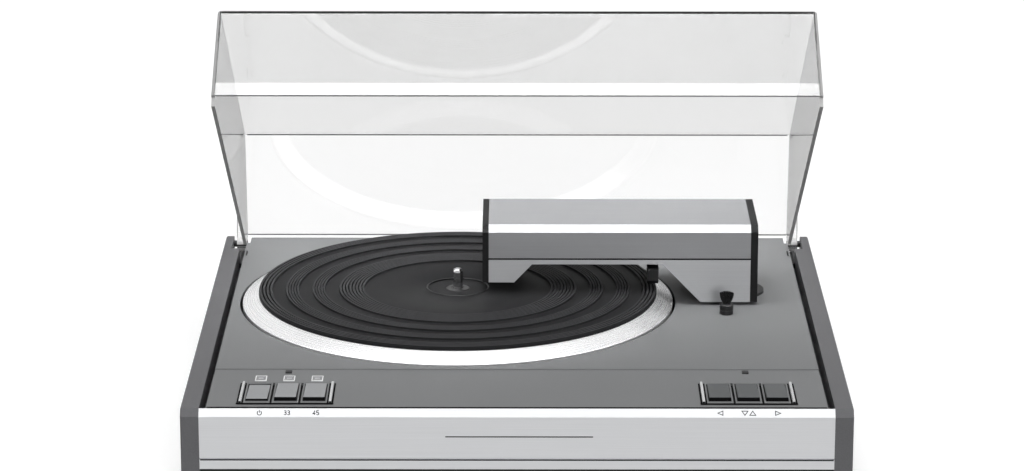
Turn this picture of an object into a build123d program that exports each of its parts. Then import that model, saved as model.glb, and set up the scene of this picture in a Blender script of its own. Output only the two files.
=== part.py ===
from build123d import *
import math
import os

# Linear tracking turntable, in millimetres.
# +X is to the right of the deck, +Y to its rear and +Z up.
# The origin is on the spindle's axis, at the top of the platter mat, where a record lies.
# Heights that end in _h are measured up from the deck plate's top face.

# Layout of the deck, outwards from the platter
platter_radius = 157.3
well_ring_gap = 2.1
well_left_margin = 5.6
pivot_from_well = 45.0
pivot_right_margin = 47.4
well_rear_margin = 3.6
rim_band_from_well = 4.6
rim_band_width = 13.0
keys_from_rim_band = 18.0
key_group_length = 45.0
front_margin = 9.0
deck_side_gap = 4.6
cheek_width = 12.5
mat_top_h = 10.0
body_drop = 54.0
foot_height = 12.0
overrun = 1.0

# Fits and gaps
running_gap = 0.05
fixed_gap = 0.02
seat_gap = 0.2
moving_gap = 0.3

# Deck plate and plinth
deck_thickness = 2.0
rim_band_depth = 0.8
well_drop = 26.0
plinth_wall = 3.0
gap_floor_drop = 14.0
hinge_sill_drop = 10.4
hinge_sill_length = 36.0
corner_notch_width = 2.6
corner_notch_length = 15.0
hinge_slot_width = 1.4
hinge_slot_length = 13.0
hinge_slot_inset = 1.0
hinge_slot_from_rear = 43.0

# Fascia along the front edge
fascia_thickness = 3.5
fascia_bevel_drop = 5.2
fascia_face_drop = 34.2
fascia_groove_height = 0.9
fascia_groove_depth = 1.5
fascia_bottom_drop = 42.0

# Cheeks at the sides
cheek_edge_chamfer = 0.8
cheek_rear_margin = 4.0
hinge_pocket_width = 6.3
hinge_pocket_length = 34.0

# Rear panel and base
rear_panel_thickness = 3.0
base_thickness = 2.0
base_inset = 1.2
vent_count = 9
vent_width = 4.0
vent_length = 60.0
vent_pitch = 12.0
vent_row_from_rear = 103.0
foot_radius = 20.0
foot_pad_radius = 18.0
foot_pad_sides = 16
foot_pad_height = 3.0
foot_inset_x = 40.0
foot_inset_y = 42.0

# Sockets on the rear panel
inlet_width = 27.0
inlet_height = 20.0
inlet_depth = 17.0
inlet_wall = 2.0
inlet_side_inset = 58.4
inlet_h = -32.0
inlet_pin_width = 4.0
inlet_pin_thickness = 2.0
inlet_pin_length = 11.0
inlet_pin_spacing = 8.0
socket_plate_width = 74.0
socket_plate_height = 22.0
socket_plate_thickness = 1.5
socket_block_inset = 4.0
socket_spacing = 20.0
socket_side_inset = 78.4
socket_row_shift = 15.0
socket_h = -32.0
socket_radius = 4.15
socket_length = 9.0
socket_bore_radius = 1.7
socket_bore_length = 7.5
ground_post_spacing = 28.0
ground_knob_radius = 5.0
ground_knob_length = 8.0

# Platter, mat and spindle
platter_rim_bottom_h = 0.5
platter_rim_top_h = 7.0
platter_plate_thickness = 5.0
platter_bevel_width = 11.5
platter_skirt_thickness = 6.0
platter_skirt_bottom_h = -14.0
mat_edge_gap = 0.3
mat_recess_radius = 22.0
mat_recess_depth = 1.2
mat_step = 0.5
mat_ridged_inner_share = 0.467
spindle_radius = 3.6
spindle_nose_width = 1.9
spindle_nose_height = 3.2
spindle_top_h = 24.0
spindle_collar_radius = 8.7
spindle_collar_height = 2.0
journal_radius = 5.0
journal_bottom_h = -42.0

# Direct drive motor under the platter
stator_radius = 58.0
rotor_gap = 4.0
rotor_width = 12.0
rotor_bottom_h = -12.0
stator_board_thickness = 1.6
stator_standoff = 4.0
stator_post_size = 7.0
coil_count = 6
stator_sides = 24
rotor_sides = 24
stator_hole_size = 54.0
coil_inset = 2.0
coil_length = 22.0
coil_outer_width = 26.0
coil_inner_width = 16.0
coil_height = 7.0
coil_rim = 5.0
bearing_radius = 12.0
bearing_top_h = -1.0
bearing_flange_size = 48.0
bearing_flange_thickness = 4.0
bearing_floor = 3.0

# Electronics in the base
board_thickness = 1.6
board_width = 150.0
board_depth = 60.0
board_side_inset = 73.4
board_front_inset = 14.0
board_rail_width = 8.0
board_rail_height = 8.0
transformer_width = 56.0
transformer_depth = 46.0
transformer_height = 34.0
transformer_side_inset = 48.4
transformer_rear_inset = 43.0
transformer_core_width = 30.0
transformer_bobbin_inset = 4.0
key_board_h = -17.0
key_board_margin = 2.0
switch_size = 8.0
switch_height = 2.2

# Keys, their frames and the trims
key_group_side_inset = 52.4
key_group_width = 62.4
key_pitch = 19.3
key_width = 14.8
key_front_inset = 5.6
key_rear_inset = 3.0
key_front_h = 3.2
key_rear_h = 0.8
key_skirt_drop = 7.0
key_shell = 1.6
key_gap = 0.4
key_edge_radius = 0.8
key_stem_size = 5.0
key_stem_bottom_h = -12.0
key_travel = 2.2
power_key_latch_depth = 1.2
key_frame_top_h = 0.3
key_frame_drop = 9.0
key_frame_gap = 1.2
key_frame_lip = 2.0
key_frame_groove_width = 1.5
key_frame_groove_depth = 2.5
key_trim_width = 1.7
key_trim_top_h = 1.5
lamp_width = 6.6
lamp_length = 9.6
lamp_from_rim_band = 9.4
lamp_top_h = 0.4
lamp_drop = 3.0
bumper_side_inset = 51.1
bumper_from_cover_front = 0.6
bumper_reach = 2.2
bumper_top_h = 0.2

# Dust cover, drawn shut and then opened about its hinge
cover_wall = 2.6
cover_slot_gap = 0.6
cover_draft = 0.6
cover_front_overhang = 6.8
cover_front_lean = 29.3
cover_front_top_h = 74.3
cover_rear_top_h = 68.7
cover_rear_overhang = 2.5
cover_rear_lean = 60.0
cover_rear_rim_h = 4.6
cover_rim_h = 0.5
cover_side_rim_h = -6.0
cover_edge_radius = 2.4
cover_rib_width = 5.0
cover_rib_top_width = 2.2
cover_rib_depth = 9.0
cover_rib_top_drop = 3.0
hinge_from_rear = 3.0
hinge_h = -4.0
hinge_pin_radius = 2.5
hinge_ear_radius = 5.6
cover_open_angle = 33.45

# Turret that the tracking bridge turns on
pivot_y = 22.0
turret_radius = 21.0
turret_top_h = 2.0
turret_stem_size = 22.0
turret_stem_drop = 30.0
pivot_shaft_radius = 7.5
pivot_shaft_top_h = 26.0

# Tracking bridge over the platter
bridge_left_from_spindle = 18.2
bridge_right_from_pivot = 14.1
bridge_front_from_pivot = 36.0
bridge_rear_from_pivot = 44.0
bridge_top_h = 59.6
bridge_face_top_h = 54.9
bridge_bevel_width = 5.2
bridge_seam_h = 34.9
bridge_seam_gap = 0.8
bridge_leg_bottom_h = 2.4
rear_leg_bottom_h = 3.4
bridge_foot_bottom_h = 17.2
bridge_cut_top_h = 30.9
bridge_wall = 2.5
bridge_left_cap = 4.5
bridge_right_cap = 5.3
foot_slope_bottom_from_left = 23.0
foot_slope_top_from_left = 36.0
leg_slope_top_from_pivot = 54.9
leg_slope_bottom_from_pivot = 27.3
bridge_floor_h = 31.0
bridge_floor_thickness = 2.0
bridge_floor_slot_width = 14.0
bridge_plate_thickness = 6.0
bridge_boss_radius = 14.0
bridge_boss_cap = 3.0

# Linear guide and belt drive inside the bridge
rod_radius = 3.0
rod_h = 44.0
front_rod_before_pivot = 12.0
rear_rod_behind_pivot = 22.0
rod_block_thickness = 6.0
rod_block_margin = 5.0
left_block_from_left = 5.2
right_block_from_pivot = 37.0
pulley_radius = 6.0
pulley_height = 5.0
pulley_h = 53.0
pulley_behind_pivot = 5.0
drive_pulley_from_pivot = 16.0
idler_pulley_from_left = 18.2
belt_gap = 0.1
belt_thickness = 0.8
belt_height = 4.0
pulley_axle_radius = 1.5
idler_foot_reach = 4.0
motor_radius = 11.0
motor_height = 13.0
motor_shaft_depth = 6.0
carriage_length = 26.0
carriage_height = 12.0
carriage_margin = 4.0
carriage_travel_in = 85.0
hanger_side_gap = 0.6
carriage_hanger_width = 12.0
carriage_hanger_bottom_h = 28.6
belt_jaw_thickness = 1.8

# Tangential arm, at the stylus' place over the record's first groove
stylus_inside_mat_edge = 3.1
arm_pivot_h = 22.4
yoke_plate_thickness = 1.6
yoke_arm_thickness = 1.4
yoke_inner_width = 10.0
yoke_depth = 7.0
yoke_pin_radius = 1.4
yoke_arm_bottom_h = 19.4
arm_pivot_pin_radius = 1.0
arm_block_width = 9.2
arm_block_depth = 8.0
arm_block_height = 5.6
arm_tube_radius = 2.2
arm_tube_front_y = 6.0
headshell_width = 8.4
headshell_thickness = 1.6
headshell_front_y = -8.6
headshell_rear_y = 10.0
counterweight_reach = 3.0
counterweight_length = 7.0
cartridge_width = 8.3
cartridge_front_y = -9.0
cartridge_rear_y = 4.0
cartridge_top_h = 24.6
cartridge_bottom_h = 14.2
cartridge_nose = 3.0
stylus_holder_height = 1.0
stylus_tip_h = 12.4
stylus_tip_radius = 0.35

# Stylus brush on the deck
brush_side_inset = 56.8
brush_before_pivot = 56.8
brush_holder_radius = 5.0
brush_holder_height = 7.4
brush_stem_radius = 2.0
brush_stem_drop = 6.0
brush_backing_height = 1.0
brush_backing_width = 5.0
brush_backing_depth = 2.6
brush_top_width = 10.6
brush_top_depth = 3.8
brush_top_h = 17.5
brush_dome = 1.5
strand_radius = 0.07
strand_columns = 15
strand_rows = 7
strand_root = 0.3
strand_spread_share = 0.9

# Places worked out from the sizes above
deck_z = -mat_top_h
body_bottom_z = deck_z - body_drop
well_radius = platter_radius + well_ring_gap
deck_left_x = -(well_radius + well_left_margin)
pivot_x = well_radius + pivot_from_well
deck_right_x = pivot_x + pivot_right_margin
middle_x = (deck_left_x + deck_right_x) / 2
deck_half = (deck_right_x - deck_left_x) / 2
cheek_inner = deck_half + deck_side_gap
outer_half = cheek_inner + cheek_width
deck_rear_y = well_radius + well_rear_margin
rim_band_rear_y = -(well_radius + rim_band_from_well)
rim_band_front_y = rim_band_rear_y - rim_band_width
key_group_rear_y = rim_band_front_y - keys_from_rim_band
key_group_front_y = key_group_rear_y - key_group_length
deck_front_y = key_group_front_y - front_margin
key_group_from_middle = deck_half - key_group_side_inset
key_front_y = key_group_front_y + key_front_inset
key_rear_y = key_group_rear_y - key_rear_inset
lamp_y = rim_band_front_y - lamp_from_rim_band
hinge_y = deck_rear_y - hinge_from_rear
cover_half_width = deck_half + cover_slot_gap + cover_wall
cover_rib_half = cover_half_width + cover_rib_width
cover_front_y = rim_band_rear_y - cover_front_overhang
cover_front_top_y = cover_front_y + cover_front_lean
cover_rear_y = deck_rear_y + cover_rear_overhang
cover_rear_top_y = cover_rear_y - cover_rear_lean
bumper_from_middle = deck_half - bumper_side_inset
bumper_y = cover_front_y + bumper_from_cover_front
bevel_inner_radius = platter_radius - platter_bevel_width
mat_radius = bevel_inner_radius - mat_edge_gap
rotor_inner_radius = stator_radius + rotor_gap
rotor_outer_radius = rotor_inner_radius + rotor_width
bridge_left_x = bridge_left_from_spindle
bridge_right_x = pivot_x + bridge_right_from_pivot
bridge_front_y = pivot_y - bridge_front_from_pivot
bridge_rear_y = pivot_y + bridge_rear_from_pivot
panel_left_x = bridge_left_x + bridge_left_cap
panel_right_x = bridge_right_x - bridge_right_cap
front_rod_y = pivot_y - front_rod_before_pivot
rear_rod_y = pivot_y + rear_rod_behind_pivot
pulley_y = pivot_y + pulley_behind_pivot
arm_x = mat_radius - stylus_inside_mat_edge
arm_pivot_y = rear_rod_y
left_block_x = bridge_left_x + left_block_from_left
right_block_x = pivot_x - right_block_from_pivot - rod_block_thickness
drive_pulley_x = pivot_x - drive_pulley_from_pivot
idler_pulley_x = bridge_left_x + idler_pulley_from_left
motor_bottom_h = bridge_floor_h + bridge_floor_thickness
motor_top_h = motor_bottom_h + motor_height
brush_x = deck_right_x - brush_side_inset
brush_y = pivot_y - brush_before_pivot
inlet_x = deck_left_x + inlet_side_inset
socket_x = deck_right_x - socket_side_inset
board_x = deck_left_x + board_side_inset
board_y = deck_front_y + board_front_inset
board_z = body_bottom_z + base_thickness + board_rail_height


def up(height):
    """Turns a height above the deck plate into a Z of the model."""
    return deck_z + height


def block(x0, x1, y0, y1, z0, z1):
    """A box between two corners."""
    centre = ((x0 + x1) / 2, (y0 + y1) / 2, (z0 + z1) / 2)
    return Pos(*centre) * Box(x1 - x0, y1 - y0, z1 - z0)


def post(x, y, radius, z0, z1):
    """An upright round bar."""
    return Pos(x, y, (z0 + z1) / 2) * Cylinder(radius, z1 - z0)


def bar_along_x(y, z, radius, x0, x1):
    """A round bar that runs from left to right."""
    return Pos((x0 + x1) / 2, y, z) * Rot(0, 90, 0) * Cylinder(radius, x1 - x0)


def bar_along_y(x, z, radius, y0, y1):
    """A round bar that runs from front to rear."""
    return Pos(x, (y0 + y1) / 2, z) * Rot(90, 0, 0) * Cylinder(radius, y1 - y0)


def prism_along_x(points, x0, x1):
    """A side outline of (y, z) points, carried from x0 to x1."""
    face = make_face(Polyline(*points, close=True))
    return extrude(Plane.YZ.offset(x0) * face, x1 - x0)


def prism_along_y(points, y0, y1):
    """A front outline of (x, z) points, carried from y0 to y1."""
    face = make_face(Polyline(*points, close=True))
    return extrude(Plane.XZ.offset(-y1) * face, y1 - y0)


def turned(points, x=0, y=0):
    """A round part: its half section of (radius, z) points, turned about an upright axis."""
    face = make_face(Polyline(*points, close=True))
    return Pos(x, y, 0) * revolve(Plane.XZ * face, Axis.Z)


def many_sided(radius, sides, z0, z1, x=0, y=0):
    """An upright bar with many flat sides; radius is measured to its corners."""
    return Pos(x, y, z0) * extrude(RegularPolygon(radius, sides), z1 - z0)


def both_sides(shape_at):
    """The same piece on the left and the right of the deck's middle."""
    return shape_at(-1), shape_at(1)


def side_block(side, inner, outer, y0, y1, z0, z1):
    """A box at the left (-1) or right (1), between two distances from the deck's middle."""
    ends = sorted((middle_x + side * inner, middle_x + side * outer))
    return block(ends[0], ends[1], y0, y1, z0, z1)


def side_bar(side, inner, outer, y, z, radius):
    """A round bar along X at the left (-1) or right (1)."""
    ends = sorted((middle_x + side * inner, middle_x + side * outer))
    return bar_along_x(y, z, radius, ends[0], ends[1])


def as_one(shapes):
    """Groups separate solids in one node."""
    solids = []
    for shape in shapes:
        solids.extend(shape.solids())
    return Compound(solids)


def joined(shapes):
    """Fuses overlapping or touching shapes into one."""
    first, *rest = shapes
    return first.fuse(*rest).clean()


# Deck, plinth and casing
key_cells = (-1, 0, 1)


def key_window(side, z0, z1, gap):
    """The rectangle of one key group, grown by a gap all round."""
    centre = middle_x + side * key_group_from_middle
    half = key_group_width / 2 + gap
    return block(centre - half, centre + half, key_group_front_y - gap, key_group_rear_y + gap, z0, z1)


def lamp_block(cell, gap, z0, z1):
    """The place of the lamp behind one key of the left group."""
    x = middle_x - key_group_from_middle + cell * key_pitch
    half = lamp_width / 2 + gap
    reach = lamp_length / 2 + gap
    return block(x - half, x + half, lamp_y - reach, lamp_y + reach, z0, z1)


def corner_notch(side):
    """The cut at a rear corner that leaves room for the cover's ear."""
    inner = deck_half - corner_notch_width
    return side_block(side, inner, cheek_inner + overrun, deck_rear_y - corner_notch_length,
                      deck_rear_y + rear_panel_thickness + overrun, up(-hinge_sill_drop), up(overrun))


def hinge_sill(side):
    """Raised floor of the cover's slot in front of a hinge."""
    return side_block(side, deck_half - overrun, cheek_inner, deck_rear_y - hinge_sill_length, deck_rear_y,
                      up(-gap_floor_drop - overrun), up(-hinge_sill_drop))


def hinge_slot(side):
    """The small dark slot in the deck beside each hinge."""
    outer = deck_half - hinge_slot_inset
    reach = hinge_slot_length / 2
    y = deck_rear_y - hinge_slot_from_rear
    return side_block(side, outer - hinge_slot_width, outer, y - reach, y + reach,
                      up(-deck_thickness - overrun), up(overrun))


def deck_holes(z0, z1):
    """Round holes for the platter, the turret's stem and the brush."""
    return [post(0, 0, well_radius, z0, z1),
            turret_stem(fixed_gap, z0, z1),
            post(brush_x, brush_y, brush_stem_radius + fixed_gap, z0, z1)]


def make_deck_plate():
    plate = block(middle_x - deck_half, middle_x + deck_half, deck_front_y, deck_rear_y,
                  up(-deck_thickness), up(0))
    band = block(middle_x - deck_half - overrun, middle_x + deck_half + overrun,
                 rim_band_front_y, rim_band_rear_y, up(-rim_band_depth), up(overrun))
    cuts = [band]
    cuts += deck_holes(up(-deck_thickness - overrun), up(overrun))
    cuts += both_sides(corner_notch)
    cuts += both_sides(hinge_slot)
    for side in (-1, 1):
        cuts.append(key_window(side, up(-deck_thickness - overrun), up(overrun), 0))
    for cell in key_cells:
        cuts.append(lamp_block(cell, fixed_gap, up(-deck_thickness - overrun), up(overrun)))
    return plate - cuts


def make_plinth():
    top_z = up(-deck_thickness)
    inner_rear = deck_rear_y - plinth_wall
    wide = block(middle_x - cheek_inner, middle_x + cheek_inner, deck_front_y, deck_rear_y,
                 body_bottom_z + base_thickness, up(-gap_floor_drop))
    narrow = block(middle_x - deck_half, middle_x + deck_half, deck_front_y, deck_rear_y,
                   up(-gap_floor_drop), top_z)
    hollow_half = deck_half - corner_notch_width - plinth_wall
    hollow = block(middle_x - hollow_half, middle_x + hollow_half, deck_front_y + plinth_wall, inner_rear,
                   body_bottom_z, top_z - plinth_wall)
    well_wall = post(0, 0, well_radius + plinth_wall, up(-well_drop - plinth_wall), top_z)
    well_wall &= block(deck_left_x, deck_right_x, deck_front_y, deck_rear_y, body_bottom_z, up(0))
    shell = (wide + narrow) - hollow
    tub = joined([shell, well_wall, *both_sides(hinge_sill)])
    tub -= post(0, 0, well_radius, up(-well_drop), up(0))
    tub -= post(0, 0, bearing_radius + fixed_gap, body_bottom_z, up(0))
    cuts = [turret_stem(fixed_gap, up(-well_drop), up(0)),
            post(brush_x, brush_y, brush_stem_radius + fixed_gap, up(-well_drop), up(0))]
    cuts += both_sides(corner_notch)
    for side in (-1, 1):
        cuts.append(key_window(side, up(-gap_floor_drop), up(0), 0))
    for cell in key_cells:
        cuts.append(lamp_block(cell, fixed_gap, up(-gap_floor_drop), up(0)))
    cuts += rear_openings(inner_rear - overrun, deck_rear_y + overrun)
    return tub - cuts


def fascia_outline():
    """Side outline of the front bar: bevel, face, groove and lower lip."""
    back = deck_front_y
    face = deck_front_y - fascia_thickness
    groove = face + fascia_groove_depth
    return [(back, up(-seat_gap)), (face, up(-fascia_bevel_drop)), (face, up(-fascia_face_drop)),
            (groove, up(-fascia_face_drop)), (groove, up(-fascia_face_drop - fascia_groove_height)),
            (face, up(-fascia_face_drop - fascia_groove_height)), (face, up(-fascia_bottom_drop)),
            (back, up(-fascia_bottom_drop))]


def make_front_fascia():
    return prism_along_x(fascia_outline(), middle_x - cheek_inner, middle_x + cheek_inner)


def make_cheek(side):
    front = deck_front_y - fascia_thickness
    rear = deck_rear_y + cheek_rear_margin
    outline = [(rear, body_bottom_z), (rear, up(0)), (deck_front_y, up(0)),
               (front, up(-fascia_bevel_drop)), (front, body_bottom_z)]
    ends = sorted((middle_x + side * cheek_inner, middle_x + side * outer_half))
    cheek = prism_along_x(outline, ends[0], ends[1])
    outer_face = cheek.faces().sort_by(Axis.X)[0 if side < 0 else -1]
    cheek = chamfer(outer_face.edges(), cheek_edge_chamfer)
    pocket = side_block(side, cheek_inner - overrun, cheek_inner + hinge_pocket_width,
                        rear - hinge_pocket_length, rear + overrun, up(-hinge_sill_drop), up(overrun))
    pin_hole = side_bar(side, cheek_inner, outer_half - cheek_edge_chamfer - moving_gap,
                        hinge_y, up(hinge_h), hinge_pin_radius + fixed_gap)
    return cheek - [pocket, pin_hole]


def rear_openings(y0, y1):
    """Holes through the rear wall for the mains inlet and the socket block."""
    inlet = block(inlet_x - inlet_width / 2, inlet_x + inlet_width / 2, y0, y1,
                  up(inlet_h) - inlet_height / 2, up(inlet_h) + inlet_height / 2)
    return [inlet, socket_block(y0, y1, fixed_gap)]


def socket_block(y0, y1, gap):
    """The part of the socket plate that passes through the rear wall."""
    half_w = socket_plate_width / 2 - socket_block_inset + gap
    half_h = socket_plate_height / 2 - socket_block_inset + gap
    return block(socket_x - half_w, socket_x + half_w, y0, y1, up(socket_h) - half_h, up(socket_h) + half_h)


def make_rear_panel():
    y0 = deck_rear_y
    y1 = deck_rear_y + rear_panel_thickness
    panel = block(middle_x - cheek_inner, middle_x + cheek_inner, y0, y1,
                  body_bottom_z + base_thickness, up(-deck_thickness))
    return panel - [*rear_openings(y0 - overrun, y1 + overrun), *both_sides(corner_notch)]


def make_mains_inlet():
    """A two pin inlet: a cup open to the rear, with its pins."""
    x = inlet_x
    z = up(inlet_h)
    rear = deck_rear_y + rear_panel_thickness
    half_w = inlet_width / 2 - fixed_gap
    half_h = inlet_height / 2 - fixed_gap
    cup = block(x - half_w, x + half_w, rear - inlet_depth, rear, z - half_h, z + half_h)
    flange = block(x - half_w - inlet_wall, x + half_w + inlet_wall, rear, rear + inlet_wall,
                   z - half_h - inlet_wall, z + half_h + inlet_wall)
    hollow = block(x - half_w + inlet_wall, x + half_w - inlet_wall, rear - inlet_depth + inlet_wall,
                   rear + inlet_wall + overrun, z - half_h + inlet_wall, z + half_h - inlet_wall)
    pins = []
    cup_floor = rear - inlet_depth + inlet_wall
    for side in (-1, 1):
        pin_x = x + side * inlet_pin_spacing / 2
        pins.append(block(pin_x - inlet_pin_thickness / 2, pin_x + inlet_pin_thickness / 2,
                          cup_floor, cup_floor + inlet_pin_length,
                          z - inlet_pin_width / 2, z + inlet_pin_width / 2))
    body = (cup + flange) - hollow
    return joined([body, *pins])


def make_phono_sockets():
    """Two round signal sockets on a plate, with a block behind it in the rear wall."""
    rear = deck_rear_y + rear_panel_thickness
    half_w = socket_plate_width / 2
    half_h = socket_plate_height / 2
    plate_rear = rear + socket_plate_thickness
    end = plate_rear + socket_length
    plate = block(socket_x - half_w, socket_x + half_w, rear, plate_rear,
                  up(socket_h) - half_h, up(socket_h) + half_h)
    body = joined([plate, socket_block(deck_rear_y - plinth_wall, rear, 0)])
    for shift in (-1, 1):
        x = socket_x + socket_row_shift + shift * socket_spacing / 2
        body += bar_along_y(x, up(socket_h), socket_radius, plate_rear, end)
        body -= bar_along_y(x, up(socket_h), socket_bore_radius, end - socket_bore_length, end + overrun)
    return body


def make_ground_post():
    start = deck_rear_y + rear_panel_thickness + socket_plate_thickness
    x = socket_x + socket_row_shift - socket_spacing / 2 - ground_post_spacing
    return bar_along_y(x, up(socket_h), ground_knob_radius, start, start + ground_knob_length)


def make_base_pan():
    """The steel bottom cover, with vents and the rails of the main board."""
    half = cheek_inner - fixed_gap
    top = body_bottom_z + base_thickness
    pan = block(middle_x - half, middle_x + half, deck_front_y + base_inset, deck_rear_y - base_inset,
                body_bottom_z, top)
    vents = []
    vent_front = deck_rear_y - vent_row_from_rear
    for index in range(vent_count):
        x = middle_x + (index - (vent_count - 1) / 2) * vent_pitch
        vents.append(block(x - vent_width / 2, x + vent_width / 2, vent_front, vent_front + vent_length,
                           body_bottom_z - overrun, top + overrun))
    rails = []
    for x in (board_x, board_x + board_width - board_rail_width):
        rails.append(block(x, x + board_rail_width, board_y, board_y + board_depth, top, board_z))
    return joined([pan - vents, *rails])


def make_main_board():
    return block(board_x, board_x + board_width, board_y, board_y + board_depth,
                 board_z, board_z + board_thickness)


def make_transformer():
    """A laminated core with its winding bobbin, standing on the base pan."""
    x = deck_right_x - transformer_side_inset
    y = deck_rear_y - transformer_rear_inset
    z0 = body_bottom_z + base_thickness
    half_w = transformer_width / 2
    half_d = transformer_depth / 2
    half_core = transformer_core_width / 2
    core = block(x - half_w, x + half_w, y - half_core, y + half_core,
                 z0, z0 + transformer_height)
    bobbin = block(x - half_w + 2 * transformer_bobbin_inset, x + half_w - 2 * transformer_bobbin_inset,
                   y - half_d, y + half_d,
                   z0 + transformer_bobbin_inset, z0 + transformer_height - transformer_bobbin_inset)
    return joined([core, bobbin])


def foot_places():
    half = outer_half - foot_inset_x
    places = []
    for y in (deck_front_y + foot_inset_y, deck_rear_y - foot_inset_y):
        places.append((middle_x - half, y))
        places.append((middle_x + half, y))
    return places


def make_feet():
    bottom = body_bottom_z - foot_height + foot_pad_height
    return as_one([post(x, y, foot_radius, bottom, body_bottom_z) for x, y in foot_places()])


def make_foot_pads():
    bottom = body_bottom_z - foot_height
    return as_one([many_sided(foot_pad_radius, foot_pad_sides, bottom, bottom + foot_pad_height, x, y)
                   for x, y in foot_places()])


# Platter, mat, spindle and motor
def make_platter():
    """Cast aluminium platter: a bevelled rim and a skirt under its plate."""
    skirt_inner = platter_radius - platter_skirt_thickness
    plate_bottom = platter_rim_top_h - platter_plate_thickness
    section = [(spindle_collar_radius, up(platter_rim_top_h)), (bevel_inner_radius, up(platter_rim_top_h)),
               (platter_radius, up(platter_rim_bottom_h)), (platter_radius, up(platter_skirt_bottom_h)),
               (skirt_inner, up(platter_skirt_bottom_h)), (skirt_inner, up(plate_bottom)),
               (spindle_collar_radius, up(plate_bottom))]
    return turned(section)


def make_platter_mat():
    """Rubber mat: a raised band for the record's grooves, lower inside it, with a recess at the centre."""
    inner = spindle_collar_radius + moving_gap
    band = mat_ridged_inner_share * mat_radius
    return turned([(inner, up(platter_rim_top_h)), (mat_radius, up(platter_rim_top_h)), (mat_radius, 0),
                   (band, 0), (band, -mat_step), (mat_recess_radius, -mat_step),
                   (mat_recess_radius, -mat_recess_depth), (inner, -mat_recess_depth)])


def make_spindle():
    """Spindle with its nose, collar and journal, turned in one piece."""
    collar_top = up(platter_rim_top_h + spindle_collar_height)
    collar_bottom = up(platter_rim_top_h - platter_plate_thickness)
    tip = up(spindle_top_h)
    return turned([(0, up(journal_bottom_h)), (journal_radius, up(journal_bottom_h)),
                   (journal_radius, collar_bottom), (spindle_collar_radius, collar_bottom),
                   (spindle_collar_radius, collar_top), (spindle_radius, collar_top),
                   (spindle_radius, tip - spindle_nose_height),
                   (spindle_radius - spindle_nose_width, tip), (0, tip)])


def make_rotor_ring():
    """Ring of flat magnets under the platter."""
    bottom = up(rotor_bottom_h)
    top = up(platter_rim_top_h - platter_plate_thickness)
    ring = many_sided(rotor_outer_radius, rotor_sides, bottom, top)
    return ring - many_sided(rotor_inner_radius, rotor_sides, bottom - overrun, top + overrun)


def coil(angle, z0, z1):
    """One flat coil of the stator: a trapezoid ring that is wider towards the magnet."""
    far = stator_radius - coil_inset
    near = far - coil_length
    outer = [(near, -coil_inner_width / 2), (far, -coil_outer_width / 2),
             (far, coil_outer_width / 2), (near, coil_inner_width / 2)]
    slim = coil_inner_width / 2 - coil_rim
    wide = coil_outer_width / 2 - coil_rim
    inner = [(near + coil_rim, -slim), (far - coil_rim, -wide),
             (far - coil_rim, wide), (near + coil_rim, slim)]
    ring = make_face(Polyline(*outer, close=True)) - make_face(Polyline(*inner, close=True))
    return Pos(0, 0, z0) * Rot(0, 0, angle) * extrude(ring, z1 - z0)


def make_motor_stator():
    """Board on stand-offs with a ring of flat coils."""
    floor = up(-well_drop)
    board = floor + stator_standoff
    top = board + stator_board_thickness
    disc = many_sided(stator_radius, stator_sides, board, top)
    hole = stator_hole_size / 2
    disc -= block(-hole, hole, -hole, hole, floor, top + overrun)
    parts = [disc]
    reach = stator_post_size / 2
    ring = (stator_hole_size / 2 + stator_radius) / 2
    for index in range(coil_count):
        angle = index * 360 / coil_count
        parts.append(coil(angle, top, top + coil_height))
        if index % 2 == 0:
            stand = block(ring - reach, ring + reach, -reach, reach, floor, board)
            parts.append(Rot(0, 0, angle) * stand)
    return joined(parts)


def make_bearing_housing():
    floor = up(-well_drop)
    bottom = up(journal_bottom_h) - bearing_floor
    outer = post(0, 0, bearing_radius, bottom, up(bearing_top_h))
    reach = bearing_flange_size / 2
    flange = block(-reach, reach, -reach, reach, floor, floor + bearing_flange_thickness)
    bore = post(0, 0, journal_radius + running_gap, up(journal_bottom_h) - seat_gap, up(0))
    return joined([outer, flange]) - bore


# Keys
def make_key_frame(side):
    """Frame that fills a key window: three cells with dark grooves between them."""
    centre = middle_x + side * key_group_from_middle
    half = key_group_width / 2 - key_trim_width
    frame = block(centre - half, centre + half, key_group_front_y + key_frame_gap,
                  key_group_rear_y - key_frame_gap, up(-key_frame_drop), up(key_frame_top_h))
    lip_bottom = up(-deck_thickness - plinth_wall - key_frame_lip)
    lip_top = up(-deck_thickness - plinth_wall)
    lip = key_window(side, lip_bottom, lip_top, key_frame_lip)
    frame = joined([frame, lip])
    cuts = []
    for cell in key_cells:
        x = centre + cell * key_pitch
        reach = key_width / 2 + key_gap
        cuts.append(block(x - reach, x + reach, key_front_y - key_gap, key_rear_y + key_gap,
                          up(-key_frame_drop - overrun), up(overrun)))
    for divider in (-1, 1):
        x = centre + divider * key_pitch / 2
        cuts.append(block(x - key_frame_groove_width / 2, x + key_frame_groove_width / 2,
                          key_group_front_y, key_group_rear_y, up(-key_frame_groove_depth), up(overrun)))
    return frame - cuts


def key_outline(latch):
    """Side outline of a key: a wedge, higher at its front."""
    bottom = up(-key_skirt_drop - latch)
    return [(key_rear_y, bottom), (key_rear_y, up(key_rear_h - latch)),
            (key_front_y, up(key_front_h - latch)), (key_front_y, bottom)]


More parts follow.
